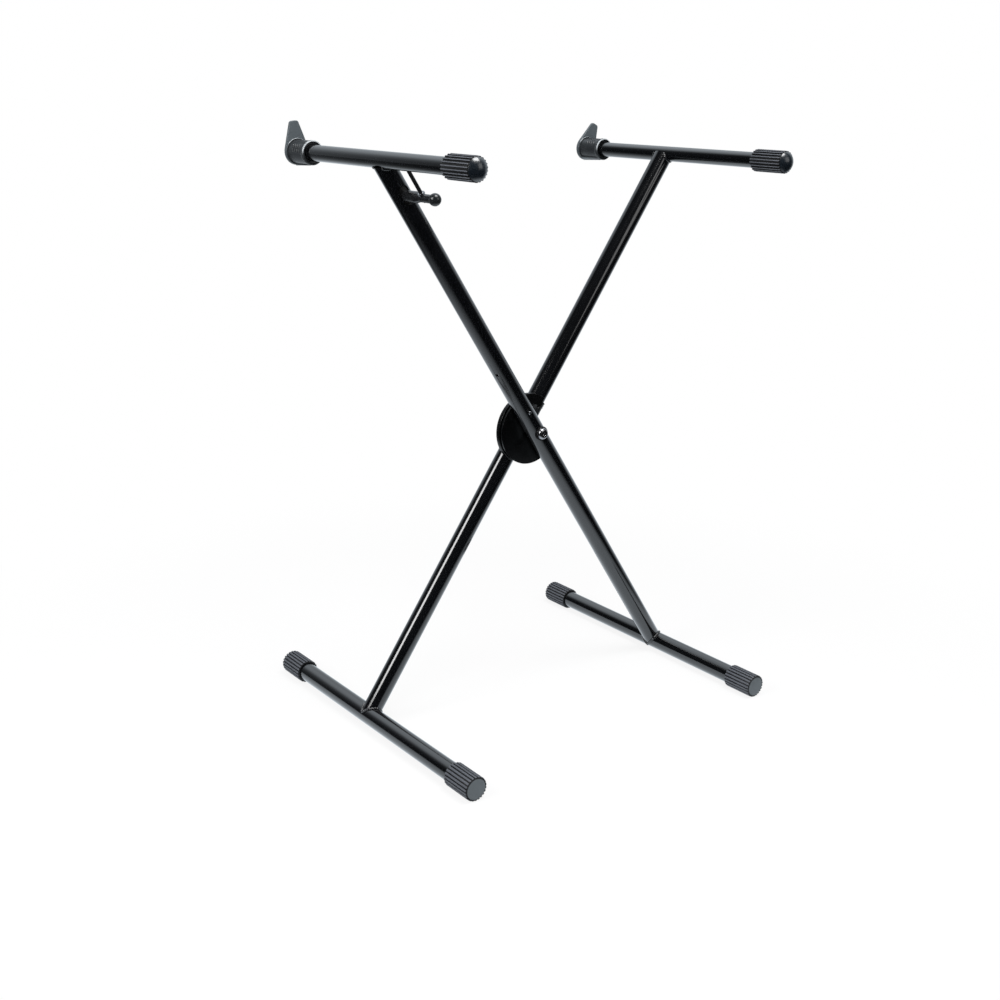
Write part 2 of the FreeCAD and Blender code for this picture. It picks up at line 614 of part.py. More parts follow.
# Trigger bar with its ball, and the guide rod that runs up into the left arm
bar = fuse("bar_blank", [
    cylinder("bar_body", "bar_dia / 2", "bar_shoulder + %s + bar_inset" % FRONT_AXIS,
             ("0", "-bar_shoulder", TRIGGER_AT), "Y"),
    cylinder("bar_neck", "neck_dia / 2", "ball_reach + ball_socket - bar_shoulder",
             ("0", "-ball_reach - ball_socket", TRIGGER_AT), "Y"),
])
rod_hole = cylinder("rod_hole", "guide_rod_dia / 2 + fit_slip", "2 * bar_dia",
                    ("0", "-guide_rod_reach", TRIGGER_AT + " - bar_dia"))
node(cut("bar_cut", bar, [rod_hole]), "trigger_bar", FRONT_LEG)
ball_blank = doc.addObject("Part::Sphere", "ball_blank")
bind(ball_blank, Radius="ball_dia / 2")
place(ball_blank, move("0", "-ball_reach", TRIGGER_AT))
ball_bore = cylinder("ball_bore", "neck_dia / 2 + fit_slip", "ball_dia",
                     ("0", "-ball_reach - ball_socket - fit_slip", TRIGGER_AT), "Y")
node(cut("ball_cut", ball_blank, [ball_bore]), "trigger_ball", FRONT_LEG)
guide_rod = cylinder("guide_rod", "guide_rod_dia / 2", "trigger_drop - guide_rod_top + neck_dia / 2")
node(guide_rod, "trigger_guide_rod", FRONT_LEG, move("0", "-guide_rod_reach", TRIGGER_AT + " - neck_dia / 2"))
NUT_AT = ("0", "-guide_rod_reach", TRIGGER_AT + " + neck_dia / 2 + fit_slip")
guide_nut = cut(
    "guide_nut_cut",
    hexagon("guide_nut_blank", "guide_nut_flats", "guide_nut_height", NUT_AT),
    [cylinder("guide_nut_bore", "guide_rod_dia / 2 + fit_slip", "guide_nut_height", NUT_AT)],
)
node(guide_nut, "guide_rod_nut", FRONT_LEG)

# Linkage inside the front leg: slider, pull rod, pin carrier and lock pin
SLIDE_RADIUS = LEG_BORE + " - bore_slip"
CARRIER_TOP = "(pin_reach + carrier_length / 2)"
ROD_START = CARRIER_TOP + " - rod_seat_in_carrier"
SLIDER_START = "(%s - slider_length / 2)" % TRIGGER_AT
ROD_END = "(%s + rod_seat_in_slider)" % SLIDER_START
slider = cut(
    "slider_cut",
    cylinder("slider_blank", SLIDE_RADIUS, "slider_length", ("0", FRONT_AXIS, SLIDER_START)),
    [
        cylinder("slider_bar_hole", "bar_dia / 2 + fit_slip", "leg_od + bar_inset",
                 ("0", FRONT_AXIS + " - leg_od", TRIGGER_AT), "Y"),
        cylinder("slider_rod_hole", "pull_rod_dia / 2 + fit_slip", "rod_seat_in_slider + rod_end_gap",
                 ("0", FRONT_AXIS, SLIDER_START)),
    ],
)
node(slider, "trigger_slider", FRONT_LEG)
carrier = cut(
    "carrier_cut",
    cylinder("carrier_blank", SLIDE_RADIUS, "carrier_length",
             ("0", FRONT_AXIS, CARRIER_TOP + " - carrier_length")),
    [
        cylinder("carrier_pin_hole", "pin_dia / 2 + fit_slip", "2 * leg_od",
                 ("0", FRONT_AXIS + " - leg_od", "pin_reach"), "Y"),
        cylinder("carrier_rod_hole", "pull_rod_dia / 2 + fit_slip", "carrier_length",
                 ("0", FRONT_AXIS, ROD_START + " - rod_end_gap")),
    ],
)
node(carrier, "lock_pin_carrier", FRONT_LEG)
pull_rod = cylinder("pull_rod_bar", "pull_rod_dia / 2", "%s - (%s)" % (ROD_END, ROD_START))
node(pull_rod, "pull_rod", FRONT_LEG, move("0", FRONT_AXIS, ROD_START))
PIN_FRONT = "%s - leg_od / 2 - pin_proud" % FRONT_AXIS
lock_pin = cylinder("lock_pin_bar", "pin_dia / 2", "%s - hub_gap - (%s)" % (PLATE_BACK, PIN_FRONT))
node(lock_pin, "lock_pin", FRONT_LEG, move("0", PIN_FRONT, "pin_reach", "1; 0; 0", "-90"))

# Return spring between the pin carrier and a washer held by two cross pins
spring = cut(
    "spring_cut",
    cylinder("spring_skin", "spring_od / 2", "spring_length",
             ("0", FRONT_AXIS, CARRIER_TOP + " + spring_end_gap")),
    [cylinder("spring_core", "spring_od / 2 - spring_wire", "spring_length",
              ("0", FRONT_AXIS, CARRIER_TOP + " + spring_end_gap"))],
)
node(spring, "return_spring", FRONT_LEG)
WASHER_AT = ("0", FRONT_AXIS, CARRIER_TOP + " + spring_length + 2 * spring_end_gap")
spring_washer = cut(
    "spring_washer_cut",
    cylinder("spring_washer_blank", SLIDE_RADIUS, "spring_washer_thickness", WASHER_AT),
    [cylinder("spring_washer_hole", "pull_rod_dia / 2 + bore_slip", "spring_washer_thickness", WASHER_AT)],
)
node(spring_washer, "spring_washer", FRONT_LEG)
stop_pins = doc.addObject("Part::Compound", "stop_pins")
CHORD = "sqrt(leg_od ^ 2 / 4 - (stop_pin_offset + stop_pin_dia / 2) ^ 2)"
stop_pins.Links = [
    cylinder("stop_pin_%d" % number, "stop_pin_dia / 2", "2 * " + CHORD,
             ("-" + CHORD, "%s %s stop_pin_offset" % (FRONT_AXIS, sign), STOP_PIN_AT), "X")
    for number, sign in enumerate("-+", start=1)
]
node(stop_pins, "spring_stop_pins", FRONT_LEG)

doc.recompute()
for obj in doc.Objects:
    if {"Invalid", "Error"} & set(obj.State):
        raise RuntimeError("%s did not build: %s" % (obj.Label, obj.State))
for obj in nodes:
    if obj.Shape.isNull() or not obj.Shape.isValid() or not obj.Shape.Solids:
        raise RuntimeError("%s has no valid solid" % obj.Label)

os.makedirs("parts", exist_ok=True)
for obj in nodes:
    obj.Shape.exportStep("parts/%s.step" % obj.Label)
    print("%-24s %2d solid %10.0f mm3" % (obj.Label, len(obj.Shape.Solids), obj.Shape.Volume))
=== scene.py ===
import math

import bmesh
import bpy
from mathutils import Matrix, Vector


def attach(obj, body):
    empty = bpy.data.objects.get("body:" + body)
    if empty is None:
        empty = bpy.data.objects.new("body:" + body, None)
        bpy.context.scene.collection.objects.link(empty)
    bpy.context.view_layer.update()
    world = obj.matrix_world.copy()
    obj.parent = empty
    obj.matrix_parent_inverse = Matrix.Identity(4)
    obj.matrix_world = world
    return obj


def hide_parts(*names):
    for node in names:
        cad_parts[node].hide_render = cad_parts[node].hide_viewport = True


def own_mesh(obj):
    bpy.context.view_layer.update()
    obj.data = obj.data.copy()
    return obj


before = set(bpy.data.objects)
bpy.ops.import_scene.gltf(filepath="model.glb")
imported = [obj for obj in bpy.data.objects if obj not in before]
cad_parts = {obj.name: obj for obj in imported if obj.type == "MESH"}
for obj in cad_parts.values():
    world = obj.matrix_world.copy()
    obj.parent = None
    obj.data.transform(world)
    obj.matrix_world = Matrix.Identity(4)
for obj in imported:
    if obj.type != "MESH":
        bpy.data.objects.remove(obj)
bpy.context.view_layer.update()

# Leg tubes. Two crossed lengths of round steel tube, notched at the ends to sit round the foot and the arm.
# The front one is slotted for the lock pin and the trigger, and both are drilled for the pivot bolt.
# After welding the whole frame is powder coated, a glossy black with a slight orange peel.
MM = 0.001
LEG_LEAN = math.radians(34.2)
LEG_UP = 477 * MM
LEG_DOWN = 484 * MM
LEG_TRIM = 4 * MM
LEG_RADIUS = 14 * MM
FOOT_RADIUS = 14 * MM
ARM_RADIUS = 11 * MM
TUBE_WALL = 1.5 * MM
WELD_GAP = 0.1 * MM
LEG_APART = 35.3 * MM
PIVOT = Vector((0, -1 * MM, 418.007 * MM))
ROUND = 96
HALF_ROUND = 16
SAME_POINT = 0.002 * MM
BOLT_HOLE = 4.1 * MM
PIN_SLOT = (2.9 * MM, 36.6 * MM, 48 * MM)
TRIGGER_SLOT = (7.9 * MM, 418 * MM, 429.4 * MM)
STOP_PIN_HOLE = 2.55 * MM
STOP_PIN_OFFSET = 6.5 * MM
STOP_PIN_HEIGHT = 122.8 * MM
COAT_BLACK = (0.0018, 0.0020, 0.0026, 1)
COAT_DUST = (0.0030, 0.0033, 0.0042, 1)
COAT_GLOSS = 0.12
CLOUD_EDGE = (0.42, 0.72)
SPECK_EDGE = (0.55, 0.75)
SPECK_SHARE = 0.3
SPECK_GLOSS = 0.4


class Net:
    """A socket in a node tree, so that sums on values are written as plain expressions."""

    def __init__(self, tree, socket=None):
        self.tree = tree
        self.socket = socket

    def node(self, kind, settings=None, sockets=None, output=0):
        made = self.tree.nodes.new(kind)
        for name, value in (settings or {}).items():
            setattr(made, name, value)
        for name, value in (sockets or {}).items():
            if isinstance(value, Net):
                self.tree.links.new(value.socket, made.inputs[name])
            else:
                made.inputs[name].default_value = value
        return Net(self.tree, made.outputs[output] if made.outputs else None)

    def sum(self, operation, first, second):
        return self.node("ShaderNodeMath", {"operation": operation}, {0: first, 1: second})

    def __add__(self, other):
        return self.sum("ADD", self, other)

    def __radd__(self, other):
        return self.sum("ADD", other, self)

    def __sub__(self, other):
        return self.sum("SUBTRACT", self, other)

    def __rsub__(self, other):
        return self.sum("SUBTRACT", other, self)

    def __mul__(self, other):
        return self.sum("MULTIPLY", self, other)

    def __rmul__(self, other):
        return self.sum("MULTIPLY", other, self)

    def __truediv__(self, other):
        return self.sum("DIVIDE", self, other)

    def __rtruediv__(self, other):
        return self.sum("DIVIDE", other, self)

    def __pow__(self, other):
        return self.sum("POWER", self, other)

    def __rpow__(self, other):
        return self.sum("POWER", other, self)

    def __abs__(self):
        return self.node("ShaderNodeMath", {"operation": "ABSOLUTE"}, {0: self})

    def between(self, low, high):
        return self.node("ShaderNodeMapRange", {"interpolation_type": "SMOOTHSTEP"},
                         {"Value": self, "From Min": low, "From Max": high})


def blank(owner):
    """The emptied node tree of a material or of the world."""
    owner.use_nodes = True
    owner.node_tree.nodes.clear()
    return Net(owner.node_tree)


def noises(place, cloud, grain):
    """Two noises over a surface, soft clouds and a fine grain, from their scales."""
    kind = "ShaderNodeTexNoise"
    clouds = place.node(kind, None, {"Vector": place, "Scale": cloud, "Detail": 4.0, "Roughness": 0.6})
    fine = place.node(kind, None, {"Vector": place, "Scale": grain, "Detail": 2.0, "Roughness": 0.5})
    return clouds, fine


def mixed(share, first, second):
    """A colour that goes from a first one to a second one as a share rises."""
    return share.node("ShaderNodeMix", {"data_type": "RGBA"}, {0: share, 6: first, 7: second}, 2)


def surface(name, base, drift, cloud, gloss, grain, height, metal=0.0, coat=0.0, shine=0.5):
    """A finish whose colour and gloss drift in clouds from a first value to a second, with a fine grain."""
    material = bpy.data.materials.new(name)
    net = blank(material)
    place = net.node("ShaderNodeTexCoord", output="Object")
    clouds, fine = noises(place, cloud, grain)
    patch = clouds.between(*CLOUD_EDGE)
    speck = fine.between(*SPECK_EDGE)
    colour = mixed(patch * (1 - SPECK_SHARE) + speck * SPECK_SHARE, base, drift)
    rough = (patch + speck * SPECK_GLOSS) * (gloss[1] - gloss[0]) + gloss[0]
    bump = net.node("ShaderNodeBump", None, {"Strength": 0.5, "Distance": height, "Height": fine}, "Normal")
    shader = net.node("ShaderNodeBsdfPrincipled", None,
                      {"Base Color": colour, "Roughness": rough, "Normal": bump, "Metallic": metal,
                       "Coat Weight": coat, "Coat Roughness": COAT_GLOSS, "Specular IOR Level": shine})
    net.node("ShaderNodeOutputMaterial", None, {"Surface": shader})
    return material


def full_turn(count):
    """The angles of equal steps once round."""
    return [2 * math.pi * step / count for step in range(count)]


def skin(rows, loop=False):
    """A closed surface through rows of points that go round; a row of one point closes an end."""
    shape = bmesh.new()
    made = [[shape.verts.new(point) for point in row] for row in rows]
    pairs = list(zip(made, made[1:])) + ([(made[-1], made[0])] if loop else [])
    for low, high in pairs:
        count = max(len(low), len(high))
        for i in range(count):
            j = (i + 1) % count
            corners = (low[i % len(low)], low[j % len(low)], high[j % len(high)], high[i % len(high)])
            shape.faces.new(dict.fromkeys(corners))
    bmesh.ops.recalc_face_normals(shape, faces=shape.faces)
    return shape


def loose(shape):
    """An object to work on, made of a shape that is used up."""
    mesh = bpy.data.meshes.new("loose")
    shape.to_mesh(mesh)
    shape.free()
    made = bpy.data.objects.new("loose", mesh)
    bpy.context.scene.collection.objects.link(made)
    return made


def worked(made, *tools):
    """The shape of a loose object with its modifiers applied; it and its tools are thrown away."""
    mesh = bpy.data.meshes.new_from_object(made.evaluated_get(bpy.context.evaluated_depsgraph_get()))
    for item in (made, *tools):
        bpy.data.objects.remove(item)
    shape = bmesh.new()
    shape.from_mesh(mesh)
    bpy.data.meshes.remove(mesh)
    return shape


def cut(shape, *others):
    """A shape after other shapes are cut from it, with the points that fall together made one."""
    made = loose(shape)
    tools = [loose(other) for other in others]
    for tool in tools:
        step = made.modifiers.new("cut", "BOOLEAN")
        step.operation = "DIFFERENCE"
        step.solver = "EXACT"
        step.object = tool
    shape = worked(made, *tools)
    bmesh.ops.remove_doubles(shape, verts=shape.verts, dist=SAME_POINT)
    bmesh.ops.dissolve_degenerate(shape, edges=shape.edges, dist=SAME_POINT)
    return shape


def plug(radius, low, high, front, back):
    """A round-ended plug along Y, as the cutter of a slot or of a round hole."""
    half = [math.pi * step / HALF_ROUND for step in range(HALF_ROUND)]
    outline = [(radius * math.cos(turn), high + radius * math.sin(turn)) for turn in half]
    outline += [(-radius * math.cos(turn), low - radius * math.sin(turn)) for turn in half]
    if high > low:
        outline.insert(HALF_ROUND, (-radius, high))
        outline.append((radius, low))
    middle = (low + high) / 2
    rows = [[Vector((x, y, z)) for x, z in outline] for y in (front, back)]
    return skin([[Vector((0, front, middle))]] + rows + [[Vector((0, back, middle))]])


def piece(name, shape, finish, body, slot, *nodes, crisp=35):
    """A finished piece: smooth faces with crisp edges, its finish, its body and the nodes it stands for."""
    mesh = bpy.data.meshes.new(name)
    shape.to_mesh(mesh)
    shape.free()
    mesh.polygons.foreach_set("use_smooth", [True] * len(mesh.polygons))
    mesh.set_sharp_from_angle(angle=math.radians(crisp))
    mesh.materials.clear()
    mesh.materials.append(finish)
    made = bpy.data.objects.new(name, mesh)
    bpy.context.scene.collection.objects.link(made)
    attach(made, body)
    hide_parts(*nodes)
    return made


def leg_place(lean, side):
    """Where a leg's own axes are: up the leg, to the back, and level with the pivot bolt."""
    return Matrix.Translation(PIVOT + Vector((0, side, 0))) @ Matrix.Rotation(lean, 4, "Y")


def leg_ring(radius, top):
    """The line round one end of a leg, where it is notched for the arm or for the foot."""
    reach = (ARM_RADIUS if top else FOOT_RADIUS) + WELD_GAP
    ring = []
    for turn in full_turn(ROUND):
        x = radius * math.cos(turn)
        dip = math.sqrt(max(reach * reach - x * x, 0))
        z = min(LEG_UP - dip, LEG_UP - LEG_TRIM) if top else dip - LEG_DOWN
        ring.append(Vector((x, radius * math.sin(turn), z)))
    return ring


def leg_tube():
    """A whole leg, before its slots are cut."""
    bore = LEG_RADIUS - TUBE_WALL
    ends = ((LEG_RADIUS, False), (LEG_RADIUS, True), (bore, True), (bore, False))
    return skin([leg_ring(radius, top) for radius, top in ends], loop=True)


FRONT_LEG = leg_place(-LEG_LEAN, -LEG_APART / 2)
REAR_LEG = leg_place(LEG_LEAN, LEG_APART / 2)
powder_coat = surface("powder_coat", COAT_BLACK, COAT_DUST, cloud=18, gloss=(0.14, 0.15), grain=420,
                      height=0.002 * MM, coat=1.0)
through = 2 * LEG_RADIUS
side_hole = Matrix.Rotation(math.pi / 2, 4, "Z")
front_cuts = [plug(BOLT_HOLE, 0, 0, -through, through), plug(*PIN_SLOT, -through, through),
              plug(*TRIGGER_SLOT, -through, 0)]
for offset in (-STOP_PIN_OFFSET, STOP_PIN_OFFSET):
    hole = plug(STOP_PIN_HOLE, STOP_PIN_HEIGHT, STOP_PIN_HEIGHT, -through, through)
    hole.transform(Matrix.Translation((0, offset, 0)) @ side_hole)
    front_cuts.append(hole)
front_leg = cut(leg_tube(), *front_cuts)
front_leg.transform(FRONT_LEG)
piece("front_leg", front_leg, powder_coat, "front_frame", "powder_coat", "front_leg_tube")
rear_leg = cut(leg_tube(), plug(BOLT_HOLE, 0, 0, -through, through))
rear_leg.transform(REAR_LEG)
piece("rear_leg", rear_leg, powder_coat, "rear_frame", "powder_coat", "rear_leg_tube")

# Feet and arms. Straight lengths of round tube, the feet as thick as the legs and the arms thinner.
# Each runs from front to back across the end of its leg and is welded there, then coated with the frame.
FOOT_X = 272.048 * MM
FOOT_Z = 17.7 * MM
FOOT_END = 245 * MM
ARM_X = 268.114 * MM
ARM_Z = 812.524 * MM
ARM_FRONT = -222 * MM
ARM_BACK = 197.8 * MM
TUBE_EDGE = 0.5 * MM
GUIDE_HOLE = 3 * MM
GUIDE_Y = -70 * MM
DRILL_SIDES = 32


def tube_place(x, y, z, towards):
    """Axes along a foot or an arm: sideways, up, and towards the back (1) or the front (-1)."""
    return Matrix(((-towards, 0, 0, x), (0, 0, towards, y), (0, 1, 0, z), (0, 0, 0, 1)))


def circle(radius, z, sides=ROUND):
    """A ring of points on a circle round Z."""
    return [Vector((radius * math.cos(turn), radius * math.sin(turn), z)) for turn in full_turn(sides)]


def turned(profile, loop=False, sides=ROUND):
    """A lathe-turned shape along Z; the profile gives radius and height, and a radius of 0 closes an end."""
    rows = [circle(radius, z, sides) if radius else [Vector((0, 0, z))] for radius, z in profile]
    return skin(rows, loop)


def straight_tube(radius, length):
    """A length of tube along Z from 0, with its cut edges broken."""
    bore = radius - TUBE_WALL
    return turned([(bore, 0), (radius - TUBE_EDGE, 0), (radius, TUBE_EDGE), (radius, length - TUBE_EDGE),
                   (radius - TUBE_EDGE, length), (bore, length)], loop=True)


for side, body, name in ((-1, "rear_frame", "left_foot"), (1, "front_frame", "right_foot")):
    foot = straight_tube(FOOT_RADIUS, 2 * FOOT_END)
    foot.transform(tube_place(side * FOOT_X, -FOOT_END, FOOT_Z, 1))
    piece(name, foot, powder_coat, body, "powder_coat", name + "_tube")
for side, body, name in ((-1, "front_frame", "left_arm"), (1, "rear_frame", "right_arm")):
    arm = straight_tube(ARM_RADIUS, ARM_BACK - ARM_FRONT)
    arm.transform(tube_place(side * ARM_X, ARM_FRONT, ARM_Z, 1))
    if name == "left_arm":
        under = -2 * ARM_RADIUS
        drill = turned([(0, under), (GUIDE_HOLE, under), (GUIDE_HOLE, 0), (0, 0)], sides=DRILL_SIDES)
        drill.transform(Matrix.Translation((-ARM_X, GUIDE_Y, ARM_Z)) @ Matrix.Rotation(-LEG_LEAN, 4, "Y"))
        arm = cut(arm, drill)
    piece(name, arm, powder_coat, body, "powder_coat", name + "_tube")

# Welds. A run of weld metal round the foot of each leg, and one across each side of the notch at the arm.
# The bead is laid in overlapping drops and is coated with the frame, so it is black and slightly rippled.
FOOT_WELD = 2.1 * MM
ARM_WELD = 1.8 * MM
WELD_OUT = 0.5 * MM
WELD_PITCH = 2.6 * MM
WELD_RIPPLE = 0.22
WELD_SIDES = 14
DROP_STEPS = 6
ARM_WELD_STEPS = 20


def recipe(name, inputs):
    """A geometry node tree with named inputs, and its inputs by name, ready for its steps to be added."""
    tree = bpy.data.node_groups.new(name, "GeometryNodeTree")
    sockets = {"Shape": "NodeSocketGeometry", **inputs, "Finish": "NodeSocketMaterial"}
    for label, kind in sockets.items():
        tree.interface.new_socket(label, in_out="INPUT", socket_type=kind)
    tree.interface.new_socket("Shape", in_out="OUTPUT", socket_type="NodeSocketGeometry")
    entry = tree.nodes.new("NodeGroupInput")
    return Net(tree), {label: Net(tree, entry.outputs[label]) for label in sockets}


def end_recipe(net, shape, finish):
    """The last steps of a tree: plain geometry, its finish, and the way out."""
    plain = net.node("GeometryNodeRealizeInstances", None, {"Geometry": shape})
    dressed = net.node("GeometryNodeSetMaterial", None, {"Geometry": plain, "Material": finish})
    net.node("NodeGroupOutput", None, {"Shape": dressed})


def follow(net, start, values):
    """The shape that a tree makes of a start mesh."""
    made = bpy.data.objects.new("loose", start)
    bpy.context.scene.collection.objects.link(made)
    step = made.modifiers.new("recipe", "NODES")
    step.node_group = net.tree
    for item in net.tree.interface.items_tree:
        if item.in_out == "INPUT" and item.name in values:
            step[item.identifier] = values[item.name]
    return worked(made)


def joined(shape, *others):
    """A shape with others put with it; they are used up."""
    for other in others:
        mesh = bpy.data.meshes.new("part")
        other.to_mesh(mesh)
        other.free()
        shape.from_mesh(mesh)
        bpy.data.meshes.remove(mesh)
    return shape


def run(points, closed):
    """A mesh of one line of edges for a bead to follow."""
    mesh = bpy.data.meshes.new("run")
    edges = [(i, i + 1) for i in range(len(points) - 1)] + ([(len(points) - 1, 0)] if closed else [])
    mesh.from_pydata(points, edges, [])
    return mesh


bead, given = recipe("weld bead", {"Bead Radius": "NodeSocketFloat", "Drop Pitch": "NodeSocketFloat",
                                   "Drop Ripple": "NodeSocketFloat", "Sides": "NodeSocketInt"})
line = bead.node("GeometryNodeMeshToCurve", None, {"Mesh": given["Shape"]})
spaced = bead.node("GeometryNodeResampleCurve", {"mode": "LENGTH"},
                   {"Curve": line, "Length": given["Drop Pitch"] * (1 / DROP_STEPS)})
along = bead.node("GeometryNodeSplineParameter", output="Length")
drops = along * math.pi / given["Drop Pitch"]
swell = abs(bead.node("ShaderNodeMath", {"operation": "SINE"}, {0: drops}))
thick = given["Bead Radius"] * (1 - given["Drop Ripple"] * (1 - swell))
ring = bead.node("GeometryNodeCurvePrimitiveCircle", None, {"Resolution": given["Sides"], "Radius": 1.0})
laid = bead.node("GeometryNodeCurveToMesh", None,
                 {"Curve": spaced, "Profile Curve": ring, "Scale": thick, "Fill Caps": True})
end_recipe(bead, laid, given["Finish"])

weld_reach = LEG_RADIUS + WELD_OUT
foot_line = [(weld_reach * math.cos(turn), weld_reach * math.sin(turn),
              weld_reach * abs(math.sin(turn)) - LEG_DOWN) for turn in full_turn(ROUND)]
for place, body, name in ((FRONT_LEG, "front_frame", "front_welds"), (REAR_LEG, "rear_frame", "rear_welds")):
    runs = [(run(foot_line, True), FOOT_WELD)]
    for way in (-1, 1):
        arm_line = []
        for step in range(-ARM_WELD_STEPS, ARM_WELD_STEPS + 1):
            x = step / ARM_WELD_STEPS * (ARM_RADIUS - WELD_OUT)
            dip = math.sqrt((ARM_RADIUS + WELD_OUT) ** 2 - x * x)
            arm_line.append((x, way * math.sqrt(weld_reach * weld_reach - x * x), LEG_UP - dip))
        runs.append((run(arm_line, False), ARM_WELD))
    welds = bmesh.new()
    for line, size in runs:
        joined(welds, follow(bead, line, {"Bead Radius": size, "Drop Pitch": WELD_PITCH, "Sides": WELD_SIDES,
                                          "Drop Ripple": WELD_RIPPLE, "Finish": powder_coat}))
    bmesh.ops.recalc_face_normals(welds, faces=welds.faces)
    welds.transform(place)
    piece(name, welds, powder_coat, body, "powder_coat", body + "_welds", crisp=70)

# Foot caps. Four moulded rubber cups pushed on to the ends of the feet, which the stand rests on.
# Flat ribs run along them from an open rim to a rounded end, and the rubber is a satin blue-grey black.
# The curves are in millimetres, in from the side and along from the rim or back from the end.
CAP_LENGTH = 51 * MM
CAP_CREST = 17.7 * MM
CAP_CORE = 16 * MM
CAP_BORE = 14.15 * MM
CAP_FLOOR = 47 * MM
CAP_RIM = 198 * MM
CAP_RIM_CURVE = ((0.5, 0), (0.1, 0.2), (0, 0.7))
CAP_END_CURVE = ((0, 2), (0.3, 1.1), (0.9, 0.8), (1.2, 0.2), (1.6, 0))
CAP_FACE = CAP_CORE - 1.1 * MM
CAP_FACE_FROM = CAP_RIM + CAP_LENGTH - 1.6 * MM
MOUTH_FLARE = 0.5 * MM
MOUTH_DEEP = 0.7 * MM
RIB_COUNT = 22
RIB_HALF = 1.4 * MM
RIB_ROOT = 0.4 * MM
RIB_HALF_SECTION = ((-1.15, 0), (-1.06, 0.72), (-0.92, 0.93), (-0.7, 1))
RIB_RISE = ((0.5, 0.3), (0.7, 0.8), (1.4, 1))
CAP_RIB_FADE = ((2.4, 1), (1.5, 0.9), (0.8, 0.65), (0.5, 0.2))
RUBBER_GREY = (0.085, 0.092, 0.108, 1)
# Near-black painted shade for the grooves between the ribs; the crests keep the rubber grey.
RUBBER_GROOVE_SHADE = (0.002, 0.0022, 0.0028, 1)
RUBBER_END = (0.092, 0.108, 0.118, 1)
RUBBER_CLOUD = 70.0
RUBBER_GRAIN = 1500.0
RUBBER_GRAIN_DEEP = 0.04 * MM
RUBBER_GLOSS = 0.5
RUBBER_COAT_GLOSS = 0.22
CREST_FLAT = 0.1 * MM
END_SOFT = 0.3 * MM
END_START = 0.2 * MM
END_FULL = 0.6 * MM


def split(place):
    """The X, Y and Z of a place."""
    return [place.node("ShaderNodeSeparateXYZ", None, {0: place}, part) for part in range(3)]


def rubber(name, axis, crest, groove_shade_deep, end, end_radius, end_colour, end_gloss, end_coat):
    """Satin rubber for ribs round an axis: grey crests with painted shade darkening the grooves, and a plain
    end beyond a line.
    """
    material = bpy.data.materials.new(name)
    net = blank(material)
    place = net.node("ShaderNodeTexCoord", output="Object")
    x, y, z = split(place)
    height = ((abs(x) - axis[0]) ** 2 + (z - axis[1]) ** 2) ** 0.5
    inside = 1 - height.between(end_radius - END_SOFT, end_radius + END_SOFT)
    beyond = abs(y).between(end - END_START, end + END_FULL) * inside
    # Painted shade: below the crests the rubber colour darkens to near black, standing in for the shade in
    # the grooves.
    out_of_groove_shade = height.between(crest - groove_shade_deep, crest - CREST_FLAT)
    clouds, fine = noises(place, RUBBER_CLOUD, RUBBER_GRAIN)
    ribs_colour = mixed(out_of_groove_shade * (0.55 + clouds * 0.9), RUBBER_GROOVE_SHADE, RUBBER_GREY)
    colour = mixed(beyond, ribs_colour, end_colour)
    rough = (RUBBER_GLOSS + clouds * 0.12) * (1 - beyond) + beyond * (end_gloss + clouds * 0.08)
    bump = net.node("ShaderNodeBump", None,
                    {"Strength": 0.4, "Distance": RUBBER_GRAIN_DEEP, "Height": fine * (1 - beyond)}, "Normal")
    shader = net.node("ShaderNodeBsdfPrincipled", None,
                      {"Base Color": colour, "Roughness": rough, "Normal": bump,
                       "Coat Weight": beyond * end_coat, "Coat Roughness": RUBBER_COAT_GLOSS})
    net.node("ShaderNodeOutputMaterial", None, {"Surface": shader})
    return material


def capped(rows):
    """A closed shape through rows of points, with each end closed to its middle."""
    first, last = ([sum(row, Vector()) / len(row)] for row in (rows[0], rows[-1]))
    return skin([first] + rows + [last])


def rib(core, crest, end, fade):
    """One flat-topped rib along Z at the top of a cup, that rises near the rim and fades at the end."""
    root = core - RIB_ROOT
    section = RIB_HALF_SECTION + tuple((-across, rise) for across, rise in reversed(RIB_HALF_SECTION))
    stations = [(z * MM, lift) for z, lift in RIB_RISE] + [(end - z * MM, lift) for z, lift in fade]
    rows = []
    for z, lift in stations:
        high = (crest - root) * lift
        rows.append([Vector((RIB_HALF * across, root + high * rise, z)) for across, rise in section])
    return capped(rows)


ribs, given = recipe("ribs", {"Count": "NodeSocketInt", "Turn": "NodeSocketFloat", "Step": "NodeSocketFloat"})
order = ribs.node("GeometryNodeInputIndex")
along = ribs.node("ShaderNodeCombineXYZ", None, {"Z": order * given["Step"]})
spots = ribs.node("GeometryNodePoints", None, {"Count": given["Count"], "Position": along})
face = ribs.node("FunctionNodeAxisAngleToRotation", None, {"Axis": (0, 0, 1), "Angle": order * given["Turn"]})
spread = ribs.node("GeometryNodeInstanceOnPoints", None,
                   {"Points": spots, "Instance": given["Shape"], "Rotation": face})
end_recipe(ribs, spread, given["Finish"])


def ribbed(core, one_rib, finish, count=RIB_COUNT, turn=2 * math.pi / RIB_COUNT, step=0.0):
    """A moulding with its ribs, each turned and moved along from the last; they go round it by default."""
    start = bpy.data.meshes.new("rib")
    one_rib.to_mesh(start)
    one_rib.free()
    return joined(core, follow(ribs, start, {"Count": count, "Turn": turn, "Step": step, "Finish": finish}))


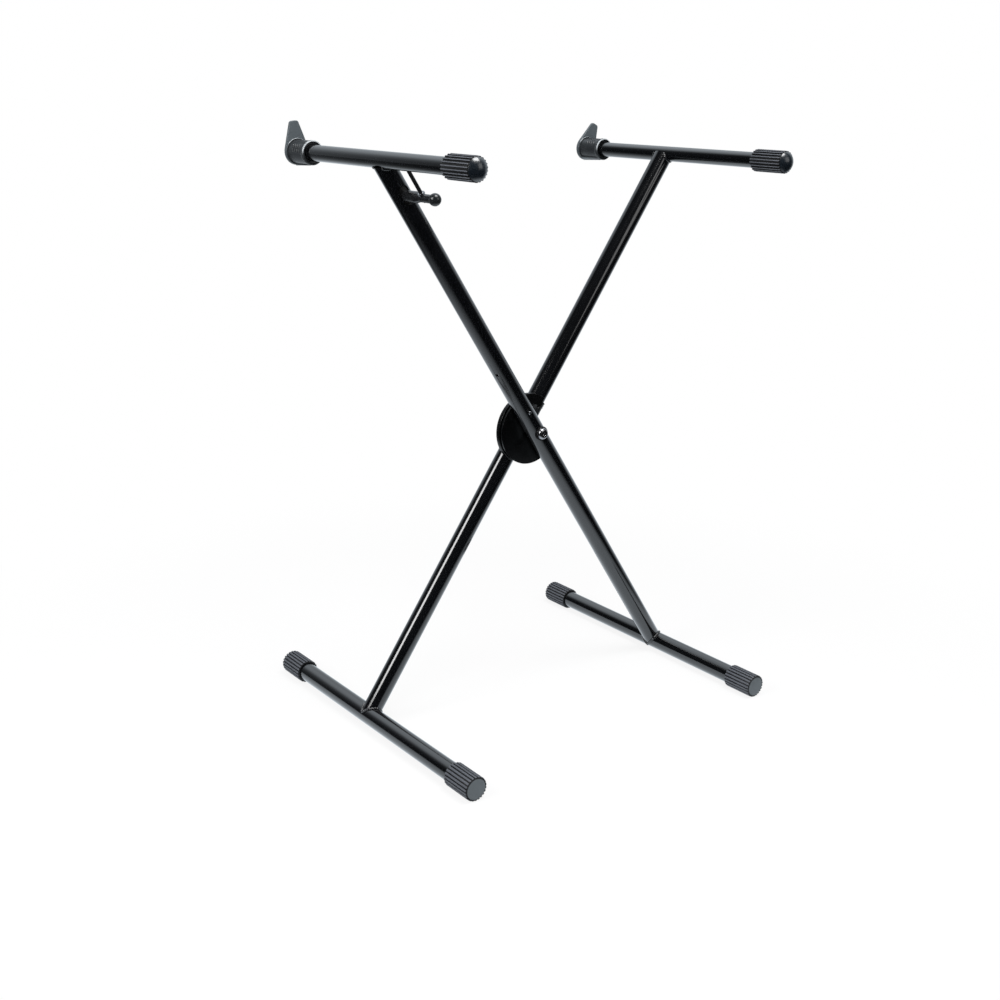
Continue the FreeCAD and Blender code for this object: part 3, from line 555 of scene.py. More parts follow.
def foot_cap():
    """A cup from its rim at 0 to its end, with ribs that fade into the rounded end."""
    profile = [(0, CAP_FLOOR), (CAP_BORE, CAP_FLOOR), (CAP_BORE, MOUTH_DEEP), (CAP_BORE + MOUTH_FLARE, 0)]
    profile += [(CAP_CORE - inward * MM, up * MM) for inward, up in CAP_RIM_CURVE]
    profile += [(CAP_CORE - inward * MM, CAP_LENGTH - back * MM) for inward, back in CAP_END_CURVE]
    profile.append((0, CAP_LENGTH))
    return ribbed(turned(profile), rib(CAP_CORE, CAP_CREST, CAP_LENGTH, CAP_RIB_FADE), cap_rubber)


cap_rubber = rubber("cap_rubber", (FOOT_X, FOOT_Z), CAP_CREST, groove_shade_deep=1.2 * MM, end=CAP_FACE_FROM,
                    end_radius=CAP_FACE, end_colour=RUBBER_END, end_gloss=0.46, end_coat=0.0)
for side, body, foot in ((-1, "rear_frame", "left"), (1, "front_frame", "right")):
    for towards, end in ((-1, "front"), (1, "rear")):
        cap = foot_cap()
        cap.transform(tube_place(side * FOOT_X, towards * CAP_RIM, FOOT_Z, towards))
        piece("%s_%s_foot_rubber" % (foot, end), cap, cap_rubber, body, "ribbed_rubber",
              "%s_foot_%s_cap" % (foot, end), crisp=50)

# Arm grips. Two ribbed rubber sleeves pushed on to the front ends of the arms, moulded as the foot caps are.
# Each ends in a smooth domed nose that stands inside the ring of rib ends.
GRIP_RIM = -170 * MM
GRIP_LENGTH = 52 * MM
GRIP_CREST = 15.6 * MM
GRIP_CORE = 13.8 * MM
GRIP_BORE = 11.15 * MM
GRIP_RIM_CURVE = ((0.5, 0), (0, 0.6))
GRIP_RIB_END = 55 * MM
GRIP_RIB_FADE = ((1.2, 1), (0.5, 0.9), (0.1, 0.6), (0, 0.3))
GRIP_RIB_SHARE = 0.52
GRIP_NECK = 1.4 * MM
GRIP_NOSE = 14.4 * MM
GRIP_NOSE_CURVE = ((1.4, 1.2), (0.6, 0.6))
GRIP_DOME = 7.6 * MM
GRIP_DOME_STEPS = 24
RUBBER_NOSE = (0.0035, 0.007, 0.0115, 1)


def arm_grip():
    """A grip from its rim at 0 to the tip of its nose."""
    profile = [(0, GRIP_LENGTH), (GRIP_BORE, GRIP_LENGTH), (GRIP_BORE, MOUTH_DEEP),
               (GRIP_BORE + MOUTH_FLARE, 0)]
    profile += [(GRIP_CORE - inward * MM, up * MM) for inward, up in GRIP_RIM_CURVE]
    profile.append((GRIP_CORE, GRIP_RIB_END - GRIP_NECK))
    profile += [(GRIP_NOSE - inward * MM, GRIP_RIB_END - back * MM) for inward, back in GRIP_NOSE_CURVE]
    ball = (GRIP_NOSE ** 2 + GRIP_DOME ** 2) / (2 * GRIP_DOME)
    edge = math.asin(GRIP_NOSE / ball)
    for step in range(GRIP_DOME_STEPS):
        turn = edge * (1 - step / GRIP_DOME_STEPS)
        profile.append((ball * math.sin(turn), GRIP_RIB_END + ball * (math.cos(turn) - math.cos(edge))))
    profile.append((0, GRIP_RIB_END + ball * (1 - math.cos(edge))))
    one_rib = rib(GRIP_CORE, GRIP_CREST, GRIP_RIB_END, GRIP_RIB_FADE)
    one_rib.transform(Matrix.Diagonal((GRIP_RIB_SHARE, 1, 1, 1)))
    return ribbed(turned(profile), one_rib, grip_rubber)


grip_rubber = rubber("grip_rubber", (ARM_X, ARM_Z), GRIP_CREST, groove_shade_deep=0.7 * MM,
                     end=GRIP_RIB_END - GRIP_RIM, end_radius=GRIP_CREST, end_colour=RUBBER_NOSE,
                     end_gloss=0.3, end_coat=1.0)
for side, body, name in ((-1, "front_frame", "left"), (1, "rear_frame", "right")):
    grip = arm_grip()
    grip.transform(tube_place(side * ARM_X, GRIP_RIM, ARM_Z, -1))
    piece(name + "_grip_rubber", grip, grip_rubber, body, "ribbed_rubber", name + "_arm_grip", crisp=50)

# End stops. Two plastic mouldings pushed on to the back ends of the arms, each a barrel with a raised rim.
# An upright fin closes the back end and keeps a keyboard from sliding off; it blends into the barrel.
STOP_RIM = 154 * MM
STOP_LENGTH = 48 * MM
STOP_RADIUS = 16.2 * MM
STOP_BORE = 11.15 * MM
STOP_MOUTH = 14.6 * MM
STOP_MOUTH_DEEP = 3.2 * MM
STOP_SINK = 1 * MM
LIP_RADIUS = 16.8 * MM
LIP_WIDTH = 6 * MM
LIP_CURVE = ((1.3, 0), (0.7, 0.2), (0.2, 0.7), (0, 1.3))
LIP_EDGE = 0.4 * MM
LIP_SINK = 0.6 * MM
FIN_BACK = 4.2 * MM
FIN_HEIGHT = 41.5 * MM
FIN_BASE = 18.5 * MM
FIN_TIP_HALF = 7.25 * MM
FIN_TIP_ROUND = 4 * MM
FIN_STEPS = 64
FIN_BLEND = 2 * MM
FIN_BLEND_STEPS = 8
BEAD_AT = 17 * MM
BEAD_HALF = 1.0 * MM
BEAD_STEPS = 16
KEEL_HALF = 4.5 * MM
KEEL_EDGE = 0.3 * MM
KEEL_LOW = 0.6 * MM
KEEL_HIGH = 2.6 * MM
RIDGE_COUNT = 4
RIDGE_STEP = 5 * MM
RIDGE_FROM = 14 * MM
RIDGE_MIDDLE = math.radians(27)
RIDGE_SPAN = math.radians(46)
RIDGE_SLANT = 4 * MM
RIDGE_STEPS = 16
RIDGE_SECTION = ((-1.1, -0.4), (-0.8, 0.5), (0, 0.9), (0.8, 0.5), (1.1, -0.4))
STOP_VOXEL = 0.5 * MM
LEFT_LEAN = math.radians(-6)
RIGHT_LEAN = math.radians(25)
STOP_BLACK = (0.018, 0.0205, 0.023, 1)
STOP_GREY = (0.026, 0.029, 0.032, 1)
# The fin is the same plastic as the barrel; its lighter grey is painted light, as if its front face were lit.
FIN_LIT_GREY = (0.080, 0.095, 0.105, 1)
# Painted highlight colour for the upper edges of the lip and of the bead by the fin.
EDGE_HIGHLIGHT_PAINT = (0.42, 0.45, 0.47, 1)
STOP_CLOUD = 60.0
STOP_GRAIN = 1800.0
STOP_GRAIN_DEEP = 0.008 * MM
STOP_GLOSS = 0.26
LIP_HIGHLIGHT_END = (1.4 * MM, 1.9 * MM)
LIP_HIGHLIGHT_DEEP = (1.8 * MM, 1.4 * MM)
LIP_HIGHLIGHT_UP = (-4 * MM, 7 * MM)
BEAD_HIGHLIGHT_HALF = (0.5 * MM, 0.9 * MM)
BEAD_HIGHLIGHT_OUT = (0.1 * MM, 0.4 * MM)
BEAD_HIGHLIGHT_UP = (8 * MM, 12 * MM)
FIN_LIT_FULL = 1.6 * MM


def stop_finish():
    """Satin moulded plastic with a fine grain: near black barrel, a fin painted lighter grey as if lit, and
    painted highlights on the top of the lip and the bead.
    """
    material = bpy.data.materials.new("stop_plastic")
    net = blank(material)
    place = net.node("ShaderNodeTexCoord", output="Object")
    x, y, z = split(place)
    up = z - ARM_Z
    height = ((abs(x) - ARM_X) ** 2 + up ** 2) ** 0.5
    at_rim = 1 - y.between(*(STOP_RIM + along for along in LIP_HIGHLIGHT_END))
    on_lip = height.between(*(LIP_RADIUS - deep for deep in LIP_HIGHLIGHT_DEEP))
    # Painted highlight: pale arcs only on the upper part of the lip's front edge and of the bead, as if lit
    # from above.
    lip = on_lip * at_rim * up.between(*LIP_HIGHLIGHT_UP)
    off_bead = abs(y - (STOP_RIM + STOP_LENGTH - FIN_BACK - BEAD_HALF))
    on_bead = (1 - off_bead.between(*BEAD_HIGHLIGHT_HALF)) * up.between(*BEAD_HIGHLIGHT_UP)
    bead_highlight = height.between(*(BEAD_AT + out for out in BEAD_HIGHLIGHT_OUT)) * on_bead
    clouds, fine = noises(place, STOP_CLOUD, STOP_GRAIN)
    barrel = mixed(clouds.between(*CLOUD_EDGE), STOP_BLACK, STOP_GREY)
    # Painted light: above the bead the fin is coloured lighter grey than the barrel.
    on_fin = height.between(BEAD_AT, BEAD_AT + FIN_LIT_FULL)
    plain = mixed(on_fin * (0.8 + clouds * 0.3), barrel, FIN_LIT_GREY)
    colour = mixed((lip + bead_highlight) * (0.7 + clouds * 0.3), plain, EDGE_HIGHLIGHT_PAINT)
    bump = net.node("ShaderNodeBump", None,
                    {"Strength": 0.4, "Distance": STOP_GRAIN_DEEP, "Height": fine}, "Normal")
    shader = net.node("ShaderNodeBsdfPrincipled", None,
                      {"Base Color": colour, "Roughness": STOP_GLOSS + clouds * 0.12, "Normal": bump})
    net.node("ShaderNodeOutputMaterial", None, {"Surface": shader})
    return material


def fin_slab(front, back):
    """The round back and its fin in one outline, narrow at the rounded tip, from front to back."""
    slab = bmesh.new()
    tip = FIN_TIP_HALF - FIN_TIP_ROUND
    top = FIN_HEIGHT - FIN_TIP_ROUND
    for turn in full_turn(FIN_STEPS):
        x, y = math.cos(turn), math.sin(turn)
        for z in (front, back):
            slab.verts.new((FIN_BASE * x, FIN_BASE * y, z))
            for way in (-1, 1):
                slab.verts.new((way * tip + FIN_TIP_ROUND * x, top + FIN_TIP_ROUND * y, z))
    hull = bmesh.ops.convex_hull(slab, input=slab.verts)
    spare = dict.fromkeys(hull["geom_interior"] + hull["geom_unused"])
    bmesh.ops.delete(slab, geom=list(spare), context="VERTS")
    return slab


def ridge():
    """One short raised ridge a part of the way round the barrel, that sinks into it at both ends."""
    rows = []
    for step in range(RIDGE_STEPS + 1):
        share = step / RIDGE_STEPS - 0.5
        turn = RIDGE_MIDDLE + RIDGE_SPAN * share
        fade = 1 - (2 * abs(share)) ** 4
        row = []
        for along, rise in RIDGE_SECTION:
            radius = STOP_RADIUS + MM * (rise * fade if rise > 0 else rise)
            z = RIDGE_FROM + RIDGE_SLANT * share + MM * along
            row.append(Vector((radius * math.cos(turn), radius * math.sin(turn), z)))
        rows.append(row)
    return capped(rows)


def keel():
    """A low flange under the barrel, opposite the fin, that runs out towards the rim."""
    foot = math.sqrt(STOP_RADIUS ** 2 - KEEL_HALF ** 2) - KEEL_EDGE
    flat = KEEL_HALF - KEEL_EDGE
    stations = ((LIP_WIDTH - STOP_SINK, KEEL_LOW), (LIP_WIDTH, KEEL_LOW), (STOP_LENGTH - FIN_BACK, KEEL_HIGH))
    rows = []
    for z, high in stations:
        top = STOP_RADIUS + high
        outline = ((-KEEL_HALF, foot), (-KEEL_HALF, top - KEEL_EDGE), (-flat, top), (flat, top),
                   (KEEL_HALF, top - KEEL_EDGE), (KEEL_HALF, foot))
        rows.append([Vector((x, -y, z)) for x, y in outline])
    return capped(rows)


def end_stop():
    """A stop from its rim at 0 to its back, with the fin up: one skin with its bead, lip, ridges and keel."""
    fin_front = STOP_LENGTH - FIN_BACK
    barrel = turned([(0, fin_front), (STOP_BORE, fin_front), (STOP_BORE, STOP_MOUTH_DEEP),
                     (STOP_MOUTH, STOP_MOUTH_DEEP), (STOP_MOUTH, STOP_SINK), (STOP_RADIUS, STOP_SINK),
                     (STOP_RADIUS, STOP_LENGTH), (0, STOP_LENGTH)])
    blend_line = [(STOP_RADIUS - STOP_SINK, fin_front), (STOP_RADIUS + FIN_BLEND, fin_front)]
    for step in range(1, FIN_BLEND_STEPS + 1):
        turn = math.pi / 2 * step / FIN_BLEND_STEPS
        blend_line.append((STOP_RADIUS + FIN_BLEND * (1 - math.sin(turn)),
                           fin_front - FIN_BLEND * (1 - math.cos(turn))))
    blend_line.append((STOP_RADIUS - STOP_SINK, fin_front - FIN_BLEND))
    made = loose(joined(barrel, fin_slab(fin_front, STOP_LENGTH), turned(blend_line, loop=True)))
    fused = made.modifiers.new("fused", "REMESH")
    fused.mode = "VOXEL"
    fused.voxel_size = STOP_VOXEL
    eased = made.modifiers.new("eased", "SMOOTH")
    eased.factor = 0.5
    eased.iterations = 4
    bead_line = [(BEAD_AT + BEAD_HALF * math.cos(turn), fin_front - BEAD_HALF + BEAD_HALF * math.sin(turn))
                 for turn in full_turn(BEAD_STEPS)]
    lip_line = [(STOP_MOUTH, LIP_WIDTH / 2), (STOP_MOUTH, LIP_EDGE), (STOP_MOUTH + LIP_EDGE, 0)]
    lip_line += [(LIP_RADIUS - inward * MM, up * MM) for inward, up in LIP_CURVE]
    lip_line += [(LIP_RADIUS, LIP_WIDTH - LIP_EDGE), (LIP_RADIUS - LIP_EDGE, LIP_WIDTH),
                 (STOP_RADIUS - LIP_SINK, LIP_WIDTH)]
    moulding = joined(worked(made), turned(bead_line, loop=True), turned(lip_line, loop=True), keel())
    return ribbed(moulding, ridge(), stop_plastic, RIDGE_COUNT, 0.0, RIDGE_STEP)


stop_plastic = stop_finish()
for side, body, name, lean in ((-1, "front_frame", "left", LEFT_LEAN),
                               (1, "rear_frame", "right", RIGHT_LEAN)):
    stop = end_stop()
    stop.transform(tube_place(side * ARM_X, STOP_RIM, ARM_Z, 1) @ Matrix.Rotation(lean, 4, "Z"))
    piece(name + "_end_stop", stop, stop_plastic, body, "stop_plastic", name + "_arm_stop", crisp=80)

# Hub. A moulded half-moon behind the front leg, and behind it a second one with a sleeve round the rear leg.
# Both are dull black glass-filled plastic with a broken edge; the sleeve ends in three grip ridges.
FRONT_HUB_RADIUS = 52.5 * MM
FRONT_HUB_CHORD = 12 * MM
FRONT_HUB_FACE = -5.6 * MM
FRONT_HUB_THICK = 2.8 * MM
FRONT_HUB_EDGE = 0.15 * MM
REAR_HUB_RADIUS = 53.5 * MM
REAR_HUB_CHORD = 2 * MM
REAR_HUB_BOSS = 13 * MM
REAR_HUB_FACE = 0.5 * MM
REAR_HUB_THICK = 7.5 * MM
REAR_HUB_EDGE = 0.8 * MM
MOON_STEPS = 120
BOSS_STEPS = 40
HUB_SAME_POINT = 0.01 * MM
SLEEVE_RADIUS = 15.5 * MM
SLEEVE_BORE = 14.15 * MM
SLEEVE_TOP = 47 * MM
SLEEVE_BOTTOM = -42 * MM
SLEEVE_EDGE = 0.5 * MM
SLEEVE_RIDGE = 0.7 * MM
SLEEVE_PITCH = 3.2 * MM
SLEEVE_RIDGE_WIDTH = 1.6 * MM
SLEEVE_RIDGE_SLOPE = 0.3 * MM
HUB_BLACK = (0.0006, 0.0006, 0.0009, 1)
HUB_WORN = (0.0012, 0.0012, 0.0016, 1)
hub_plastic = surface("hub_plastic", HUB_BLACK, HUB_WORN, cloud=40, gloss=(0.30, 0.40), grain=1300,
                      height=0.03 * MM, shine=0.35)


def arc(radius, start, sweep, steps):
    """Points along an arc, from an angle on."""
    angles = [start + sweep * step / steps for step in range(steps + 1)]
    return [(radius * math.cos(turn), radius * math.sin(turn)) for turn in angles]


def moon(radius, chord, boss):
    """The outline of a half-moon: a round left of the chord, and a boss round the bolt that passes it."""
    start = math.acos(chord / radius)
    rim = arc(radius, start, 2 * math.pi - 2 * start, MOON_STEPS)
    if boss > chord:
        corner = math.acos(chord / boss)
        rim += arc(boss, -corner, 2 * corner, BOSS_STEPS)
    return rim


def plate(outlines, front, thick, edge):
    """A flat plate facing the front with broken edges; the outlines after the first are holes."""
    curve = bpy.data.curves.new("plate", "CURVE")
    curve.dimensions = "2D"
    curve.fill_mode = "BOTH"
    curve.extrude = thick / 2 - edge
    curve.bevel_depth = edge
    curve.bevel_resolution = 2
    curve.offset = -edge
    for outline in outlines:
        spline = curve.splines.new("POLY")
        spline.points.add(len(outline) - 1)
        for point, (x, z) in zip(spline.points, outline):
            point.co = (x, z, 0, 1)
        spline.use_cyclic_u = True
    made = bpy.data.objects.new("loose", curve)
    bpy.context.scene.collection.objects.link(made)
    shape = worked(made)
    bmesh.ops.remove_doubles(shape, verts=shape.verts, dist=HUB_SAME_POINT)
    bmesh.ops.recalc_face_normals(shape, faces=shape.faces)
    shape.transform(Matrix.Translation((0, front + thick / 2, 0)) @ Matrix.Rotation(math.pi / 2, 4, "X"))
    return shape


def round_hole(radius, low, high):
    """A round or long hole for a plate."""
    half = [math.pi * step / HALF_ROUND for step in range(HALF_ROUND + 1)]
    upper = [(radius * math.cos(turn), high + radius * math.sin(turn)) for turn in half]
    lower = [(-radius * math.cos(turn), low - radius * math.sin(turn)) for turn in half]
    return upper + lower[0 if high > low else 1:]


front_hub = plate([moon(FRONT_HUB_RADIUS, FRONT_HUB_CHORD, 0), round_hole(BOLT_HOLE, 0, 0),
                   round_hole(*PIN_SLOT)], FRONT_HUB_FACE, FRONT_HUB_THICK, FRONT_HUB_EDGE)
front_hub.transform(leg_place(-LEG_LEAN, -PIVOT.y))
piece("front_hub_plate", front_hub, hub_plastic, "front_frame", "hub_plastic", "front_hub", crisp=40)

rear_hub = plate([moon(REAR_HUB_RADIUS, REAR_HUB_CHORD, REAR_HUB_BOSS), round_hole(BOLT_HOLE, 0, 0)],
                 REAR_HUB_FACE, REAR_HUB_THICK, REAR_HUB_EDGE)
rear_hub.transform(Matrix.Translation((0, -PIVOT.y - LEG_APART / 2, 0)))
sleeve_line = [(SLEEVE_BORE, SLEEVE_BOTTOM), (SLEEVE_RADIUS - SLEEVE_EDGE, SLEEVE_BOTTOM),
               (SLEEVE_RADIUS, SLEEVE_BOTTOM + SLEEVE_EDGE)]
ridge_top = SLEEVE_RADIUS + SLEEVE_RIDGE
for step in (2, 1, 0):
    foot = SLEEVE_TOP - (step + 0.5) * SLEEVE_PITCH
    sleeve_line += [(SLEEVE_RADIUS, foot), (ridge_top, foot + SLEEVE_RIDGE_SLOPE),
                    (ridge_top, foot + SLEEVE_RIDGE_WIDTH - SLEEVE_RIDGE_SLOPE),
                    (SLEEVE_RADIUS, foot + SLEEVE_RIDGE_WIDTH)]
sleeve_line.append((SLEEVE_BORE, SLEEVE_TOP))
joined(rear_hub, turned(sleeve_line, loop=True))
rear_hub.transform(REAR_LEG)
piece("rear_hub_moulding", rear_hub, hub_plastic, "rear_frame", "hub_plastic", "rear_hub", crisp=40)

# Pivot bolt. A button-head bolt with a hexagon socket goes through both legs, with a washer under its head.
# It is blackened steel, polished bright on the edges of the head, and a lock nut holds it at the back.
# Nylon saddle washers and bushes keep it from crushing the tubes.
BOLT_HEAD_FACE = 39.65 * MM
BOLT_HEAD = 8.5 * MM
BOLT_HEAD_HIGH = 4.2 * MM
BOLT_HEAD_EDGE = 0.4 * MM
BOLT_DOME_FROM = 0.6 * MM
BOLT_DOME_IN = 4.2 * MM
BOLT_DOME_HIGH = 3.6 * MM
BOLT_DOME_STEPS = 12
BOLT_SHANK = 4 * MM
BOLT_TAIL = -43.55 * MM
BOLT_TAIL_EDGE = 0.8 * MM
SOCKET_HALF = 2.5 * MM
SOCKET_DEEP = 2.6 * MM
SOCKET_ROUND = 0.75 * MM
SOCKET_EDGE = 0.25 * MM
SOCKET_EDGE_DEEP = 0.3 * MM
SOCKET_POINT = 1 * MM
THREAD_PITCH = 1.25 * MM
THREAD_FROM = -33 * MM
THREAD_LEAD = 0.6 * MM
THREAD_DEEP = 0.65 * MM
NUT_HALF = 6.5 * MM
NUT_BORE = BOLT_SHANK + 0.1 * MM
NUT_FRONT = -33.55 * MM
NUT_HIGH = 8 * MM
NUT_EDGE = 0.5 * MM
NUT_FLATS_END = 2.6 * MM
NUT_ROUND_END = 2 * MM
NUT_ROUND = 0.4 * MM
NUT_COLLAR = ((0.4, 1.7), (0.6, 0.6), (1.2, 0))
BOLT_DARK = (0.38, 0.38, 0.39, 1)
BOLT_BRIGHT = (0.56, 0.56, 0.58, 1)
ZINC_GREY = (0.42, 0.43, 0.45, 1)
ZINC_PALE = (0.55, 0.56, 0.57, 1)
NYLON_BLACK = (0.004, 0.004, 0.0045, 1)
NYLON_PALE = (0.008, 0.008, 0.0085, 1)
bolt_steel = surface("bolt_steel", BOLT_DARK, BOLT_BRIGHT, cloud=120, gloss=(0.22, 0.34), grain=2400,
                     height=0.03 * MM, metal=1.0)
zinc_steel = surface("zinc_steel", ZINC_GREY, ZINC_PALE, cloud=90, gloss=(0.26, 0.40), grain=1700,
                     height=0.03 * MM, metal=1.0)
nylon = surface("nylon", NYLON_BLACK, NYLON_PALE, cloud=70, gloss=(0.36, 0.48), grain=1500, height=0.05 * MM)


def bolt_place(y):
    """Axes along the pivot bolt, with Z out of the front."""
    return Matrix(((1, 0, 0, PIVOT.x), (0, 0, -1, y), (0, 1, 0, PIVOT.z), (0, 0, 0, 1)))


def hexagon(half, z, most=1.0):
    """A ring of points on a hexagon, cut down to a round where a chamfer takes its corners."""
    ring = []
    for turn in full_turn(ROUND):
        off = (turn + math.pi / 6) % (math.pi / 3) - math.pi / 6
        radius = min(half / math.cos(off), most)
        ring.append(Vector((radius * math.cos(turn), radius * math.sin(turn), z)))
    return ring


def dress(finish, *nodes):
    """Gives CAD nodes whose shape is right their finish."""
    for name in nodes:
        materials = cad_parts[name].data.materials
        materials.clear()
        materials.append(finish)


seat = BOLT_HEAD_FACE - BOLT_HEAD_HIGH
rows = [[Vector((0, 0, BOLT_TAIL))], circle(BOLT_SHANK - BOLT_TAIL_EDGE, BOLT_TAIL)]
for step in range(int((THREAD_FROM - BOLT_TAIL) / THREAD_PITCH)):
    foot = BOLT_TAIL + THREAD_LEAD + step * THREAD_PITCH
    rows += [circle(BOLT_SHANK - THREAD_DEEP, foot), circle(BOLT_SHANK, foot + THREAD_PITCH / 2)]
rows += [circle(BOLT_SHANK, THREAD_FROM), circle(BOLT_SHANK, seat), circle(BOLT_HEAD - BOLT_HEAD_EDGE, seat),
         circle(BOLT_HEAD, seat + BOLT_HEAD_EDGE)]
for step in range(1, BOLT_DOME_STEPS + 1):
    turn = math.pi / 2 * step / BOLT_DOME_STEPS
    rows.append(circle(BOLT_HEAD - BOLT_DOME_IN * (1 - math.cos(turn)),
                       seat + BOLT_DOME_FROM + BOLT_DOME_HIGH * math.sin(turn)))
socket_floor = BOLT_HEAD_FACE - SOCKET_DEEP
rows += [circle(SOCKET_HALF + SOCKET_ROUND, BOLT_HEAD_FACE),
         hexagon(SOCKET_HALF + SOCKET_EDGE, BOLT_HEAD_FACE),
         hexagon(SOCKET_HALF, BOLT_HEAD_FACE - SOCKET_EDGE_DEEP), hexagon(SOCKET_HALF, socket_floor),
         [Vector((0, 0, socket_floor - SOCKET_POINT))]]
bolt = skin(rows)
bolt.transform(bolt_place(0))
piece("bolt", bolt, bolt_steel, "rear_frame", "bolt_steel", "pivot_bolt", crisp=40)

nut_corner = NUT_HALF / math.cos(math.pi / 6)
nut_back = NUT_FRONT - NUT_HIGH
nut = skin([circle(NUT_BORE, NUT_FRONT), circle(NUT_HALF, NUT_FRONT),
            hexagon(NUT_HALF, NUT_FRONT - NUT_EDGE, nut_corner),
            hexagon(NUT_HALF, nut_back + NUT_FLATS_END, nut_corner),
            hexagon(NUT_HALF, nut_back + NUT_ROUND_END, NUT_HALF + NUT_ROUND),
            *(circle(NUT_HALF - inward * MM, nut_back + up * MM) for inward, up in NUT_COLLAR),
            circle(NUT_BORE, nut_back)], loop=True)
nut.transform(bolt_place(0))
piece("lock_nut", nut, zinc_steel, "rear_frame", "zinc_steel", "pivot_lock_nut", crisp=30)
dress(nylon, "front_saddle_washer", "rear_saddle_washer", "front_pivot_bush", "rear_pivot_bush")
dress(bolt_steel, "bolt_head_washer")

# Trigger. A black steel bar comes out of the front leg under the left arm, and ends in a neck and a ball.
# A guide rod stands on the neck, held by a small nut, and runs up into the arm.
# Fingers squeeze the bar upwards.
BAR_X = -237.42 * MM
BAR_Z = 767.37 * MM
BAR_INNER = 9.65 * MM
BAR_RADIUS = 7.5 * MM
BAR_EDGE = 0.6 * MM
BAR_SHOULDER = 59 * MM
BAR_TAPER = 14 * MM
BAR_TAPER_STEPS = 12
NECK_RADIUS = 5.5 * MM
NECK_END = 97.3 * MM
NECK_EDGE = 0.5 * MM
BALL_AT = 94.8 * MM
BALL_RADIUS = 8.2 * MM
BALL_BORE = NECK_RADIUS + 0.05 * MM
BALL_BORE_END = NECK_END + 0.1 * MM
BALL_STEPS = 32
ROD_RADIUS = 2.6 * MM
ROD_LOW = -5.5 * MM
ROD_HIGH = 51.6 * MM
ROD_EDGE = 0.5 * MM
ROD_SIDES = 40
ROD_NUT_HALF = 4.25 * MM
ROD_NUT_BORE = ROD_RADIUS + 0.05 * MM
ROD_NUT_LOW = 5.1 * MM
ROD_NUT_HIGH = 8.5 * MM
ROD_NUT_EDGE = 0.3 * MM
STEEL_BLACK = (0.0055, 0.0058, 0.0066, 1)
STEEL_WORN = (0.011, 0.0115, 0.013, 1)
KNOB_BLACK = (0.010, 0.0115, 0.0125, 1)
KNOB_PALE = (0.018, 0.020, 0.022, 1)
black_steel = surface("black_steel", STEEL_BLACK, STEEL_WORN, cloud=80, gloss=(0.22, 0.30), grain=1200,
                      height=0.01 * MM, coat=0.2)
knob_plastic = surface("knob_plastic", KNOB_BLACK, KNOB_PALE, cloud=60, gloss=(0.20, 0.26), grain=1400,
                       height=0.006 * MM)
bar_place = tube_place(BAR_X, 0, BAR_Z, -1)
bar_line = [(0, BAR_INNER), (BAR_RADIUS - BAR_EDGE, BAR_INNER), (BAR_RADIUS, BAR_INNER + BAR_EDGE),
            (BAR_RADIUS, BAR_SHOULDER - BAR_TAPER / 2)]
for step in range(1, BAR_TAPER_STEPS + 1):
    share = step / BAR_TAPER_STEPS
    bar_line.append((NECK_RADIUS + (BAR_RADIUS - NECK_RADIUS) * (1 + math.cos(math.pi * share)) / 2,
                     BAR_SHOULDER + BAR_TAPER * (share - 0.5)))
bar_line += [(NECK_RADIUS, NECK_END - NECK_EDGE), (NECK_RADIUS - NECK_EDGE, NECK_END), (0, NECK_END)]
bar = turned(bar_line)
bar.transform(bar_place)
piece("trigger_squeeze_bar", bar, black_steel, "trigger", "black_steel", "trigger_bar", crisp=40)

mouth = math.asin(BALL_BORE / BALL_RADIUS)
ball_line = [(0, BALL_BORE_END), (BALL_BORE, BALL_BORE_END)]
for step in range(BALL_STEPS):
    turn = mouth + (math.pi - mouth) * step / BALL_STEPS
    ball_line.append((BALL_RADIUS * math.sin(turn), BALL_AT - BALL_RADIUS * math.cos(turn)))
ball = turned(ball_line + [(0, BALL_AT + BALL_RADIUS)])
ball.transform(bar_place)
piece("trigger_knob", ball, knob_plastic, "trigger", "knob_plastic", "trigger_ball", crisp=40)

rod_place = Matrix.Translation((BAR_X, GUIDE_Y, BAR_Z)) @ Matrix.Rotation(-LEG_LEAN, 4, "Y")
rod = turned([(0, ROD_LOW), (ROD_RADIUS, ROD_LOW), (ROD_RADIUS, ROD_HIGH - ROD_EDGE),
              (ROD_RADIUS - ROD_EDGE, ROD_HIGH), (0, ROD_HIGH)], sides=ROD_SIDES)
rod.transform(rod_place)
piece("guide_rod", rod, black_steel, "trigger", "black_steel", "trigger_guide_rod", crisp=40)
rod_nut_corner = ROD_NUT_HALF / math.cos(math.pi / 6)
rod_nut = skin([circle(ROD_NUT_BORE, ROD_NUT_LOW), circle(ROD_NUT_HALF, ROD_NUT_LOW),
                hexagon(ROD_NUT_HALF, ROD_NUT_LOW + ROD_NUT_EDGE, rod_nut_corner),
                hexagon(ROD_NUT_HALF, ROD_NUT_HIGH - ROD_NUT_EDGE, rod_nut_corner),
                circle(ROD_NUT_HALF, ROD_NUT_HIGH), circle(ROD_NUT_BORE, ROD_NUT_HIGH)], loop=True)
rod_nut.transform(rod_place)
piece("guide_nut", rod_nut, zinc_steel, "trigger", "zinc_steel", "guide_rod_nut", crisp=30)

